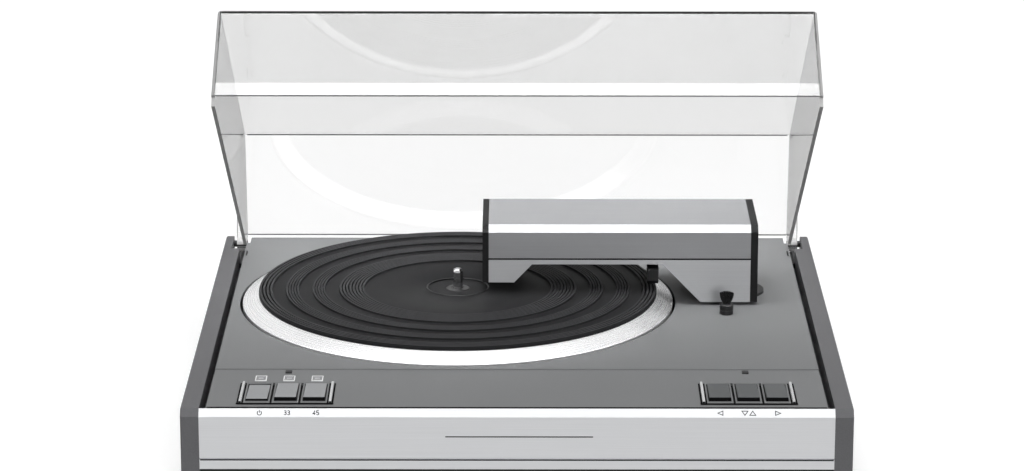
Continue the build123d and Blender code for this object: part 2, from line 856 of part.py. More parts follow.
def make_key(side, cell, latch):
    """One key: a wedge shaped cap over a shell, with its stem."""
    x = middle_x + side * key_group_from_middle + cell * key_pitch
    cap = prism_along_x(key_outline(latch), x - key_width / 2, x + key_width / 2)
    top_face = cap.faces().sort_by(Axis.Z)[-1]
    cap = fillet(top_face.edges(), key_edge_radius)
    hollow = block(x - key_width / 2 + key_shell, x + key_width / 2 - key_shell,
                   key_front_y + key_shell, key_rear_y - key_shell,
                   up(-key_skirt_drop - latch - overrun), up(key_rear_h - key_shell - latch))
    middle_y = (key_front_y + key_rear_y) / 2
    half = key_stem_size / 2
    stem = block(x - half, x + half, middle_y - half, middle_y + half,
                 up(key_stem_bottom_h - latch), up(key_rear_h - key_shell - latch))
    return joined([cap - hollow, stem])


def make_key_trims():
    """Bright strips at both ends of each key group."""
    strips = []
    for side in (-1, 1):
        centre = middle_x + side * key_group_from_middle
        for end in (-1, 1):
            outer = centre + end * key_group_width / 2
            inner = outer - end * (key_trim_width - fixed_gap)
            edge = outer - end * fixed_gap
            ends = sorted((inner, edge))
            strips.append(block(ends[0], ends[1], key_group_front_y + key_frame_gap,
                                key_group_rear_y - key_frame_gap,
                                up(-deck_thickness - plinth_wall), up(key_trim_top_h)))
    return as_one(strips)


def make_key_boards():
    """Switch boards under both key groups, with a switch below each stem."""
    boards = []
    middle_y = (key_front_y + key_rear_y) / 2
    for side in (-1, 1):
        centre = middle_x + side * key_group_from_middle
        half = key_group_width / 2
        board = block(centre - half, centre + half, deck_front_y + plinth_wall, key_group_rear_y,
                      up(key_board_h - board_thickness), up(key_board_h))
        switches = []
        for cell in key_cells:
            x = centre + cell * key_pitch
            reach = switch_size / 2
            switches.append(block(x - reach, x + reach, middle_y - reach, middle_y + reach,
                                  up(key_board_h), up(key_board_h + switch_height)))
        boards.append(joined([board, *switches]))
    return as_one(boards)


def make_lamp_windows():
    return as_one([lamp_block(cell, 0, up(-lamp_drop), up(lamp_top_h)) for cell in key_cells])


def bumper(side):
    """One of the small stops that the shut cover's front rim rests on."""
    x = middle_x + side * bumper_from_middle
    return block(x - bumper_reach, x + bumper_reach, bumper_y - bumper_reach, bumper_y + bumper_reach,
                 up(-rim_band_depth), up(bumper_top_h))


def make_cover_bumpers():
    return as_one([bumper(-1), bumper(1)])


# Dust cover
def rear_wall_y(height):
    """Where the shut cover's leaning rear wall stands at a height above the deck."""
    lean = cover_rear_lean / (cover_rear_top_h - cover_rear_rim_h)
    return cover_rear_y - lean * (height - cover_rear_rim_h)


def front_wall_y(height):
    """Where the shut cover's leaning front wall stands at a height above the deck."""
    lean = cover_front_lean / (cover_front_top_h - cover_rim_h)
    return cover_front_y + lean * (height - cover_rim_h)


def drawn_in(outline, wall):
    """A closed outline, listed anticlockwise, with each side moved in by a wall."""
    moved = []
    for before, here, after in zip(outline[-1:] + outline[:-1], outline, outline[1:] + outline[:1]):
        came = (Vector(*here) - Vector(*before)).normalized()
        goes = (Vector(*after) - Vector(*here)).normalized()
        inward = Vector(-came.Y - goes.Y, came.X + goes.X)
        shift = inward * (2 * wall / inward.length ** 2)
        moved.append((here[0] + shift.X, here[1] + shift.Y))
    return moved


def cover_side_outline(wall):
    """Side outline of the shut cover, drawn in by a wall; its bottom is cut to height later."""
    bottom = up(-body_drop)
    return drawn_in([(rear_wall_y(-body_drop), bottom), (cover_rear_top_y, up(cover_rear_top_h)),
                     (cover_front_top_y, up(cover_front_top_h)), (front_wall_y(-body_drop), bottom)], wall)


def cover_front_outline(wall):
    """Front outline of the cover: sides that lean in a little towards the top."""
    top = cover_front_top_h + overrun
    lean = cover_draft / (cover_front_top_h - cover_rim_h)
    low_half = cover_half_width - wall + lean * body_drop
    top_half = cover_half_width - wall - lean * top
    return [(middle_x - low_half, up(-body_drop)), (middle_x - top_half, up(top)),
            (middle_x + top_half, up(top)), (middle_x + low_half, up(-body_drop))]


def cover_block(wall):
    """The cover's outer or inner form as one solid."""
    side = prism_along_x(cover_side_outline(wall), middle_x - outer_half, middle_x + outer_half)
    front = prism_along_y(cover_front_outline(wall), cover_front_y - body_drop,
                          rear_wall_y(-body_drop) + overrun)
    return side & front


def rounded_block():
    """The outer form with all its edges rounded, apart from those at the cut bottom."""
    form = cover_block(0)
    low_z = form.bounding_box().min.Z
    edges = [e for e in form.edges() if e.bounding_box().max.Z > low_z + overrun]
    return fillet(edges, cover_edge_radius)


def below_rims():
    """What is cut away below the rims: higher at the front and rear walls, lower at the sides."""
    bottom = up(-body_drop - overrun)
    left = middle_x - outer_half
    right = middle_x + outer_half
    front = cover_front_y - body_drop
    behind = rear_wall_y(-body_drop) + overrun
    inner = cover_half_width - cover_wall - seat_gap
    return [block(left, right, front, hinge_y, bottom, up(cover_side_rim_h)),
            block(left, right, front, cover_front_y + 2 * cover_wall, bottom, up(cover_rim_h)),
            block(middle_x - inner, middle_x + inner, front, hinge_y, bottom, up(cover_rim_h)),
            block(left, right, hinge_y - overrun, behind, bottom, up(cover_rear_rim_h))]


def rib_side_outline(top_h):
    """Side outline of a rib: from the ear's sides up along the rear wall."""
    return [(hinge_y - hinge_ear_radius, up(hinge_h)), (hinge_y + hinge_ear_radius, up(hinge_h)),
            (rear_wall_y(cover_rear_rim_h), up(cover_rear_rim_h)), (rear_wall_y(top_h), up(top_h)),
            (rear_wall_y(top_h) - cover_rib_depth, up(top_h))]


def rib_front_outline(side, inner, top_h):
    """Front outline of a rib, which grows thinner upwards."""
    places = [(inner, -body_drop), (cover_rib_half, -body_drop), (cover_rib_half, cover_rear_rim_h),
              (cover_half_width + cover_rib_top_width, top_h), (inner, top_h)]
    return [(middle_x + side * place, up(height)) for place, height in places]


def hinge_rib(side):
    """Rib on the outside of a rear corner that carries the hinge's ear, in the cheek's pocket."""
    top_h = cover_rear_top_h - cover_rib_top_drop
    inner = cover_half_width - cover_wall
    ends = sorted((middle_x + side * (inner - cover_draft), middle_x + side * cover_rib_half))
    long = prism_along_x(rib_side_outline(top_h), ends[0], ends[1])
    thinned = prism_along_y(rib_front_outline(side, inner - cover_draft, top_h), cover_front_y,
                            rear_wall_y(-body_drop))
    below_rim = side_block(side, inner - cover_draft - overrun, inner, hinge_y - body_drop,
                           hinge_y + body_drop, up(-body_drop), up(cover_rear_rim_h))
    rib = (long & thinned) - [cover_block(cover_wall / 2), below_rim]
    ear = side_bar(side, inner, cover_rib_half, hinge_y, up(hinge_h), hinge_ear_radius)
    return joined([rib, ear])


def make_dust_cover():
    """Clear cover with hinge ribs at its rear corners, opened about the hinge."""
    shell = (rounded_block() - cover_block(cover_wall)) - below_rims()
    solid = joined([joined([shell, hinge_rib(-1)]), hinge_rib(1)])
    bores = [side_bar(side, cover_half_width - cover_wall - overrun, cover_rib_half + overrun,
                      hinge_y, up(hinge_h), hinge_pin_radius + running_gap) for side in (-1, 1)]
    return opened(solid - bores)


def opened(shape):
    """Turns a piece of the cover from shut to its place in rest."""
    return shape.rotate(Axis((0, hinge_y, up(hinge_h)), (1, 0, 0)), -cover_open_angle)


def make_hinge_pins():
    """A pin from each cheek through the cover's ear."""
    pin_end = outer_half - cheek_edge_chamfer - 2 * moving_gap
    pin_start = cover_half_width - cover_wall - moving_gap
    return as_one([side_bar(side, pin_start, pin_end, hinge_y, up(hinge_h), hinge_pin_radius)
                   for side in (-1, 1)])


# Turret and bridge
def turret_stem(gap, z0, z1):
    """The square stem that sets the turret in the deck."""
    reach = turret_stem_size / 2 + gap
    return block(pivot_x - reach, pivot_x + reach, pivot_y - reach, pivot_y + reach, z0, z1)


def make_pivot_turret():
    """Round turret on the deck with its stem, and the shaft that the bridge turns on."""
    disc = turned([(0, up(0)), (turret_radius, up(0)), (turret_radius, up(turret_top_h)),
                   (pivot_shaft_radius, up(turret_top_h)), (pivot_shaft_radius, up(pivot_shaft_top_h)),
                   (0, up(pivot_shaft_top_h))], pivot_x, pivot_y)
    return joined([disc, turret_stem(0, up(-turret_stem_drop), up(overrun))])


def bridge_profile(wall, bottom_h):
    """Cross outline of the bridge with bevelled upper edges, drawn in by a wall."""
    bevel_rise = bridge_top_h - bridge_face_top_h
    slant = math.hypot(bridge_bevel_width, bevel_rise)
    corner_shift = wall * (slant - bridge_bevel_width) / bevel_rise
    side_shift = wall * (slant - bevel_rise) / bridge_bevel_width
    front = bridge_front_y + wall
    rear = bridge_rear_y - wall
    face_top = up(bridge_face_top_h) - corner_shift
    top = up(bridge_top_h) - wall
    return [(front, up(bottom_h)), (front, face_top),
            (bridge_front_y + bridge_bevel_width + side_shift, top),
            (bridge_rear_y - bridge_bevel_width - side_shift, top),
            (rear, face_top), (rear, up(bottom_h))]


def make_bridge_cover():
    """Upper shell of the bridge, an extruded channel that is open below."""
    bottom_h = bridge_seam_h + bridge_seam_gap / 2
    outer = prism_along_x(bridge_profile(0, bottom_h), panel_left_x, panel_right_x)
    inner = prism_along_x(bridge_profile(bridge_wall, bottom_h - overrun), panel_left_x - overrun,
                          panel_right_x + overrun)
    return outer - inner


def lower_panel_outline(leg_bottom_h):
    """Front outline of a lower panel: foot, sloped cut-out and leg."""
    top = up(bridge_seam_h - bridge_seam_gap / 2)
    return [(panel_left_x, top), (panel_left_x, up(bridge_foot_bottom_h)),
            (bridge_left_x + foot_slope_bottom_from_left, up(bridge_foot_bottom_h)),
            (bridge_left_x + foot_slope_top_from_left, up(bridge_cut_top_h)),
            (pivot_x - leg_slope_top_from_pivot, up(bridge_cut_top_h)),
            (pivot_x - leg_slope_bottom_from_pivot, up(leg_bottom_h)),
            (panel_right_x, up(leg_bottom_h)), (panel_right_x, top)]


def make_bridge_front_panel():
    outline = lower_panel_outline(bridge_leg_bottom_h)
    return prism_along_y(outline, bridge_front_y, bridge_front_y + bridge_wall)


def make_bridge_rear_panel():
    outline = lower_panel_outline(rear_leg_bottom_h)
    return prism_along_y(outline, bridge_rear_y - bridge_wall, bridge_rear_y)


def make_bridge_left_cap():
    return prism_along_x(bridge_profile(0, bridge_foot_bottom_h), bridge_left_x, panel_left_x)


def make_bridge_right_cap():
    return prism_along_x(bridge_profile(0, bridge_leg_bottom_h), panel_right_x, bridge_right_x)


def bridge_inside(x0, x1, h0, h1):
    """A box that spans the bridge from its front wall to its rear wall."""
    return block(x0, x1, bridge_front_y + bridge_wall, bridge_rear_y - bridge_wall, up(h0), up(h1))


def make_bridge_frame():
    """Cast frame: plate and boss around the turret's shaft, end wall and motor shelf."""
    plate_left = pivot_x - leg_slope_bottom_from_pivot
    plate_top_h = rear_leg_bottom_h + bridge_plate_thickness
    shelf_top_h = bridge_floor_h + bridge_floor_thickness
    boss_top_h = pivot_shaft_top_h + moving_gap + bridge_boss_cap
    plate = bridge_inside(plate_left, panel_right_x, rear_leg_bottom_h, plate_top_h)
    boss = post(pivot_x, pivot_y, bridge_boss_radius, up(rear_leg_bottom_h), up(boss_top_h))
    boss &= block(plate_left, panel_right_x, bridge_front_y, bridge_rear_y, body_bottom_z, up(bridge_top_h))
    wall_left = panel_right_x - bridge_plate_thickness
    wall = bridge_inside(wall_left, panel_right_x, plate_top_h - overrun, shelf_top_h)
    shelf = bridge_inside(right_block_x, panel_right_x, bridge_floor_h, shelf_top_h)
    bore = post(pivot_x, pivot_y, pivot_shaft_radius + running_gap, up(0), up(pivot_shaft_top_h + moving_gap))
    solid = joined([plate, boss, wall, shelf, rod_block(right_block_x, shelf_top_h)])
    return solid - [bore, *rod_holes()]


def rod_block(x0, bottom_h):
    """An upright block that holds the ends of both guide rods."""
    top_h = bridge_top_h - bridge_wall
    return block(x0, x0 + rod_block_thickness, front_rod_y - rod_block_margin, rear_rod_y + rod_block_margin,
                 up(bottom_h), up(top_h)) - belt_passage(x0)


def belt_passage(x0):
    """The notch in a rod block that the belt runs through."""
    reach = pulley_radius + belt_gap + belt_thickness + 2 * moving_gap
    return block(x0 - overrun, x0 + rod_block_thickness + overrun, pulley_y - reach, pulley_y + reach,
                 up(pulley_h - belt_height), up(bridge_top_h))


def rod_holes():
    right = right_block_x + rod_block_thickness + overrun
    return [bar_along_x(y, up(rod_h), rod_radius + fixed_gap, bridge_left_x, right)
            for y in (front_rod_y, rear_rod_y)]


def make_bridge_floor():
    """Plate that closes the bridge from below, with the slot that the arm's hanger runs in."""
    top_h = bridge_floor_h + bridge_floor_thickness
    floor = bridge_inside(panel_left_x, right_block_x, bridge_floor_h, top_h)
    half = carriage_hanger_width / 2 + hanger_side_gap
    slot = block(arm_x - carriage_travel_in - half, arm_x + half,
                 arm_pivot_y - bridge_floor_slot_width / 2, arm_pivot_y + bridge_floor_slot_width / 2,
                 up(bridge_floor_h - overrun), up(top_h + overrun))
    return joined([floor - slot, rod_block(left_block_x, top_h)]) - rod_holes()


def make_guide_rods():
    right = right_block_x + rod_block_thickness
    return as_one([bar_along_x(y, up(rod_h), rod_radius, left_block_x, right)
                   for y in (front_rod_y, rear_rod_y)])


def make_pulley(x):
    """A belt pulley."""
    reach = pulley_height / 2
    return post(x, pulley_y, pulley_radius, up(pulley_h - reach), up(pulley_h + reach))


def make_drive_pulley():
    """Drive pulley with the motor's shaft fixed in it."""
    x = drive_pulley_x
    shaft = post(x, pulley_y, pulley_axle_radius, up(motor_top_h - motor_shaft_depth), up(pulley_h))
    return joined([make_pulley(x), shaft])


def make_tracking_motor():
    """Small motor that stands on the frame's shelf, with a bore for its shaft."""
    x = drive_pulley_x
    can = post(x, pulley_y, motor_radius, up(motor_bottom_h), up(motor_top_h))
    bore_bottom = up(motor_top_h - motor_shaft_depth - seat_gap)
    return can - post(x, pulley_y, pulley_axle_radius + running_gap, bore_bottom, up(motor_top_h + overrun))


def make_idler_pulley():
    x = idler_pulley_x
    return make_pulley(x) - post(x, pulley_y, pulley_axle_radius + running_gap, up(0), up(bridge_top_h))


def make_idler_axle():
    """Fixed axle under the bridge's roof, standing on its floor plate."""
    x = idler_pulley_x
    bottom = up(bridge_floor_h + bridge_floor_thickness)
    shank = post(x, pulley_y, pulley_axle_radius, bottom, up(bridge_top_h - bridge_wall - moving_gap))
    reach = idler_foot_reach
    foot = block(x - reach, x + reach, pulley_y - reach, pulley_y + reach,
                 bottom, up(pulley_h - pulley_height / 2 - moving_gap))
    return joined([foot, shank])


def belt_band(inner, z0, z1):
    """A racetrack solid around both pulleys at a given radius."""
    left = idler_pulley_x
    right = drive_pulley_x
    ends = [post(left, pulley_y, inner, z0, z1), post(right, pulley_y, inner, z0, z1)]
    return joined([block(left, right, pulley_y - inner, pulley_y + inner, z0, z1), *ends])


def make_drive_belt():
    inner = pulley_radius + belt_gap
    half = belt_height / 2
    outer_band = belt_band(inner + belt_thickness, up(pulley_h - half), up(pulley_h + half))
    return outer_band - belt_band(inner, up(pulley_h - half - overrun), up(pulley_h + half + overrun))


def make_carriage():
    """Carriage on both guide rods, with the jaws on the belt and the hanger of the arm."""
    left = arm_x - carriage_length / 2
    right = arm_x + carriage_length / 2
    low = rod_h - carriage_height / 2
    high = rod_h + carriage_height / 2 - moving_gap
    body = block(left, right, front_rod_y - rod_radius - carriage_margin,
                 rear_rod_y + rod_radius + carriage_margin, up(low), up(high))
    half = carriage_hanger_width / 2
    hanger = block(arm_x - half, arm_x + half, arm_pivot_y - half, arm_pivot_y + half,
                   up(carriage_hanger_bottom_h), up(low + overrun))
    pin = post(arm_x, arm_pivot_y, yoke_pin_radius, yoke_plate_bottom(), up(low + overrun))
    bores = [bar_along_x(y, up(rod_h), rod_radius + running_gap, left - overrun, right + overrun)
             for y in (front_rod_y, rear_rod_y)]
    return joined([body, hanger, pin, *belt_jaws(high - overrun)]) - bores


def belt_jaws(bottom_h):
    """Two jaws on the carriage, one each side of the belt's front run."""
    belt_y = pulley_y - pulley_radius - belt_gap - belt_thickness / 2
    reach = belt_thickness / 2 + moving_gap
    half = carriage_hanger_width / 2
    jaws = []
    for side in (-1, 1):
        ends = sorted((belt_y + side * reach, belt_y + side * (reach + belt_jaw_thickness)))
        jaws.append(block(arm_x - half, arm_x + half, ends[0], ends[1],
                          up(bottom_h), up(pulley_h + belt_height / 2)))
    return jaws


def yoke_plate_bottom():
    return up(carriage_hanger_bottom_h - moving_gap - yoke_plate_thickness)


def make_tracking_yoke():
    """Fork that turns on the hanger's upright pin and carries the arm between its prongs."""
    half_in = yoke_inner_width / 2
    half_out = half_in + yoke_arm_thickness
    plate_top = up(carriage_hanger_bottom_h - moving_gap)
    half_y = yoke_depth / 2
    plate = block(arm_x - half_out, arm_x + half_out, arm_pivot_y - half_y, arm_pivot_y + half_y,
                  yoke_plate_bottom(), plate_top)
    prongs = []
    for side in (-1, 1):
        ends = sorted((arm_x + side * half_in, arm_x + side * half_out))
        prongs.append(block(ends[0], ends[1], arm_pivot_y - half_y, arm_pivot_y + half_y,
                            up(yoke_arm_bottom_h), plate_top))
    pin = bar_along_x(arm_pivot_y, up(arm_pivot_h), arm_pivot_pin_radius, arm_x - half_out, arm_x + half_out)
    hole = post(arm_x, arm_pivot_y, yoke_pin_radius + running_gap, yoke_plate_bottom() - overrun,
                plate_top + overrun)
    return joined([plate, *prongs]) - hole + pin


def make_tonearm():
    """Short straight arm: pivot block, tube, headshell and tail."""
    half = arm_block_width / 2
    half_y = arm_block_depth / 2
    half_h = arm_block_height / 2
    pivot = block(arm_x - half, arm_x + half, arm_pivot_y - half_y, arm_pivot_y + half_y,
                  up(arm_pivot_h - half_h), up(arm_pivot_h + half_h))
    tube = bar_along_y(arm_x, up(arm_pivot_h), arm_tube_radius, arm_tube_front_y,
                       arm_pivot_y + half_y + counterweight_length)
    shell_half = headshell_width / 2
    shell = block(arm_x - shell_half, arm_x + shell_half, headshell_front_y, headshell_rear_y,
                  up(cartridge_top_h), up(cartridge_top_h + headshell_thickness))
    neck = block(arm_x - arm_tube_radius, arm_x + arm_tube_radius, arm_tube_front_y, headshell_rear_y,
                 up(arm_pivot_h), up(cartridge_top_h + headshell_thickness))
    hole = bar_along_x(arm_pivot_y, up(arm_pivot_h), arm_pivot_pin_radius + running_gap,
                       arm_x - half - overrun, arm_x + half + overrun)
    return joined([pivot, tube, shell, neck]) - hole


def make_counterweight():
    """Square weight at the arm's tail, set on its tube."""
    start = arm_pivot_y + arm_block_depth / 2 + seat_gap
    end = arm_pivot_y + arm_block_depth / 2 + counterweight_length
    reach = counterweight_reach
    weight = block(arm_x - reach, arm_x + reach, start, end, up(arm_pivot_h) - reach, up(arm_pivot_h) + reach)
    bore_radius = arm_tube_radius + fixed_gap
    return weight - bar_along_y(arm_x, up(arm_pivot_h), bore_radius, start - overrun, end + overrun)


def make_cartridge():
    """Pickup body under the headshell, cut back at its front lower edge."""
    low = up(cartridge_bottom_h)
    high = up(cartridge_top_h)
    return prism_along_x([(cartridge_rear_y, low), (cartridge_rear_y, high), (cartridge_front_y, high),
                          (cartridge_front_y, low + cartridge_nose),
                          (cartridge_front_y + cartridge_nose, low)],
                         arm_x - cartridge_width / 2, arm_x + cartridge_width / 2)


def make_stylus():
    """Stylus holder with the tip on the spindle's row, tangent to the groove."""
    half = cartridge_width / 4
    holder_bottom = up(cartridge_bottom_h - stylus_holder_height)
    holder = block(arm_x - half, arm_x + half, -half, cartridge_rear_y, holder_bottom, up(cartridge_bottom_h))
    tip = post(arm_x, 0, stylus_tip_radius, up(stylus_tip_h), holder_bottom)
    return joined([holder, tip])


# Stylus brush
def make_brush_holder():
    return turned([(0, up(-brush_stem_drop)), (brush_stem_radius, up(-brush_stem_drop)),
                   (brush_stem_radius, up(0)), (brush_holder_radius, up(0)),
                   (brush_holder_radius, up(brush_holder_height)), (0, up(brush_holder_height))],
                  brush_x, brush_y)


def strand(u, v):
    """One bristle: a thin three sided bar from the backing to the fanned top."""
    root_z = up(brush_holder_height + brush_backing_height - strand_root)
    start = Vector(brush_x + u * brush_backing_width * strand_spread_share,
                   brush_y + v * brush_backing_depth * strand_spread_share, root_z)
    top_z = up(brush_top_h - brush_dome * (u * u * 4 + v * v) / 2)
    end = Vector(brush_x + u * brush_top_width, brush_y + v * brush_top_depth, top_z)
    corners = []
    for index in range(3):
        angle = 2 * math.pi * index / 3
        corners.append(start + Vector(strand_radius * math.cos(angle), strand_radius * math.sin(angle), 0))
    face = Face(Wire.make_polygon(corners, close=True))
    run = end - start
    return extrude(face, amount=run.length, dir=run)


def make_brush_bristles():
    """A fan of bristles on a slice of their backing."""
    half_w = brush_backing_width / 2
    half_d = brush_backing_depth / 2
    backing = block(brush_x - half_w, brush_x + half_w, brush_y - half_d, brush_y + half_d,
                    up(brush_holder_height), up(brush_holder_height + brush_backing_height))
    strands = []
    for row in range(strand_rows):
        for column in range(strand_columns):
            u = column / (strand_columns - 1) - 1 / 2
            v = row / (strand_rows - 1) - 1 / 2
            strands.append(strand(u, v))
    return backing.fuse(*strands)


def make_all():
    """Builds every node, by name."""
    keys = {"power_key": make_key(-1, -1, power_key_latch_depth),
            "speed_33_key": make_key(-1, 0, 0),
            "speed_45_key": make_key(-1, 1, 0),
            "move_left_key": make_key(1, -1, 0),
            "lift_key": make_key(1, 0, 0),
            "move_right_key": make_key(1, 1, 0)}
    nodes = {"deck_plate": make_deck_plate(),
             "plinth": make_plinth(),
             "front_fascia": make_front_fascia(),
             "left_cheek": make_cheek(-1),
             "right_cheek": make_cheek(1),
             "rear_panel": make_rear_panel(),
             "mains_inlet": make_mains_inlet(),
             "phono_sockets": make_phono_sockets(),
             "ground_post": make_ground_post(),
             "base_pan": make_base_pan(),
             "feet": make_feet(),
             "foot_pads": make_foot_pads(),
             "main_board": make_main_board(),
             "transformer": make_transformer(),
             "key_boards": make_key_boards(),
             "platter": make_platter(),
             "platter_mat": make_platter_mat(),
             "spindle": make_spindle(),
             "rotor_ring": make_rotor_ring(),
             "motor_stator": make_motor_stator(),
             "bearing_housing": make_bearing_housing(),
             "left_key_frame": make_key_frame(-1),
             "right_key_frame": make_key_frame(1),
             "key_trims": make_key_trims(),
             "lamp_windows": make_lamp_windows(),
             "cover_bumpers": make_cover_bumpers(),
             "dust_cover": make_dust_cover(),
             "hinge_pins": make_hinge_pins(),
             "pivot_turret": make_pivot_turret(),
             "bridge_cover": make_bridge_cover(),
             "bridge_front_panel": make_bridge_front_panel(),
             "bridge_rear_panel": make_bridge_rear_panel(),
             "bridge_left_cap": make_bridge_left_cap(),
             "bridge_right_cap": make_bridge_right_cap(),
             "bridge_frame": make_bridge_frame(),
             "bridge_floor": make_bridge_floor(),
             "guide_rods": make_guide_rods(),
             "tracking_motor": make_tracking_motor(),
             "drive_pulley": make_drive_pulley(),
             "idler_pulley": make_idler_pulley(),
             "idler_axle": make_idler_axle(),
             "drive_belt": make_drive_belt(),
             "carriage": make_carriage(),
             "tracking_yoke": make_tracking_yoke(),
             "tonearm": make_tonearm(),
             "counterweight": make_counterweight(),
             "cartridge": make_cartridge(),
             "stylus": make_stylus(),
             "brush_holder": make_brush_holder(),
             "brush_bristles": make_brush_bristles()}
    nodes.update(keys)
    return nodes


if __name__ == "__main__":
    os.makedirs("parts", exist_ok=True)
    for name, shape in make_all().items():
        export_step(shape, "parts/" + name + ".step")
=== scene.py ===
import math

import bpy
import numpy as np
from mathutils import Matrix, Vector


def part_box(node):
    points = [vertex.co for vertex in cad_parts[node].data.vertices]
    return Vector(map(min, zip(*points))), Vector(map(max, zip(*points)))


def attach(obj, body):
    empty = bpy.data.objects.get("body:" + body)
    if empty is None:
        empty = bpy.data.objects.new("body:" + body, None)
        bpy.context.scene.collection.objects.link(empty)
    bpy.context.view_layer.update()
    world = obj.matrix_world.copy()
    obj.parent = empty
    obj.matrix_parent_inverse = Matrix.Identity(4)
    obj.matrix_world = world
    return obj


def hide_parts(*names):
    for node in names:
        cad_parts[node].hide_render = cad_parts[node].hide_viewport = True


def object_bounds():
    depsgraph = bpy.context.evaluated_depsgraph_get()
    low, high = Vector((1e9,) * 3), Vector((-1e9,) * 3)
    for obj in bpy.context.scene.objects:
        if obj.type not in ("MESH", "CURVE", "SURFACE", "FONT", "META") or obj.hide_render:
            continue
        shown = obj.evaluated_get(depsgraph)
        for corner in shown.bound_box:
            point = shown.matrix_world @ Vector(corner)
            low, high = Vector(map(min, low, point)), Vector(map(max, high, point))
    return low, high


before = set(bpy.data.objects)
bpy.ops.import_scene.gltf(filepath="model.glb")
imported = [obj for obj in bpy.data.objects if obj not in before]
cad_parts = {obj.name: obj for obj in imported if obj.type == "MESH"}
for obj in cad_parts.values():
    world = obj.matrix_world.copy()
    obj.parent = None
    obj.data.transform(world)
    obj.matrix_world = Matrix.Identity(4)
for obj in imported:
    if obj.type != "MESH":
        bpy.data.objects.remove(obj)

bl_info = {
    "name": "Linear tracking turntable looks",
    "version": (1, 0, 0),
    "blender": (4, 5, 0),
    "location": "3D View > Sidebar > Turntable",
    "description": "Finishes and fine pieces of a turntable with a tracking bridge over its platter",
    "category": "Object",
}

MM = 0.001
RIGHT, BACK, UP = np.eye(3)
CAD_BOX = [list(corner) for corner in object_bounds()]

# Places taken from the frame, in metres
deck_low, deck_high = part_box("deck_plate")
DECK_TOP = deck_high.z
DECK_MIDDLE = (deck_low.x + deck_high.x) / 2
DECK_FRONT = deck_low.y

# Radii that several pieces round the spindle share
COLLAR = 8.7 * MM
RECESS = 22 * MM


def srgb(code):
    """The red, green and blue of a hex colour, from 0 to 1, as they look on the screen."""
    return tuple(int(code[i:i + 2], 16) / 255 for i in (0, 2, 4))


def linear(code):
    """An sRGB hex colour as the linear red, green, blue and alpha that a shader takes."""
    channels = np.array(srgb(code))
    dark = channels / 12.92
    light = ((channels + 0.055) / 1.055) ** 2.4
    return (*np.where(channels <= 0.04045, dark, light).tolist(), 1.0)


def colour_of(value):
    """A colour property's sRGB values as a six digit hex code."""
    return "".join(f"{round(channel * 255):02x}" for channel in value)


def above_deck(height):
    """The Z of a height in millimetres above the deck plate."""
    return DECK_TOP + height * MM


# Properties: the sizes and colours that a user would change
class TurntableSizes(bpy.types.PropertyGroup):
    """Sizes of the fine pieces."""
    ring_steps: bpy.props.IntProperty(
        name="Steps round a ring", description="How many flats a turned piece has", default=288, min=48)
    ridge_height: bpy.props.FloatProperty(
        name="Ridge height", description="Height of the ridges on the platter mat",
        default=1.3 * MM, unit="LENGTH")
    rim_edge: bpy.props.FloatProperty(
        name="Rim edge", description="Rounding of the platter's machined edges",
        default=0.5 * MM, unit="LENGTH")
    hair_count: bpy.props.IntProperty(
        name="Brush hairs", description="How many hairs the stylus brush has", default=900, min=50)
    hair_radius: bpy.props.FloatProperty(
        name="Hair radius", description="Radius of a brush hair at its root",
        default=0.11 * MM, unit="LENGTH")
    stroke_width: bpy.props.FloatProperty(
        name="Stroke width", description="Width of the printed strokes on the front bevel",
        default=0.5 * MM, unit="LENGTH")
    symbol_height: bpy.props.FloatProperty(
        name="Symbol height", description="Height of the printed numbers and symbols",
        default=2.9 * MM, unit="LENGTH")
    line_length: bpy.props.FloatProperty(
        name="Fascia line", description="Length of the ruled line on the fascia",
        default=99 * MM, unit="LENGTH")
    screw_radius: bpy.props.FloatProperty(
        name="Screw head radius", description="Radius of the screw heads below and behind",
        default=3.2 * MM, unit="LENGTH")


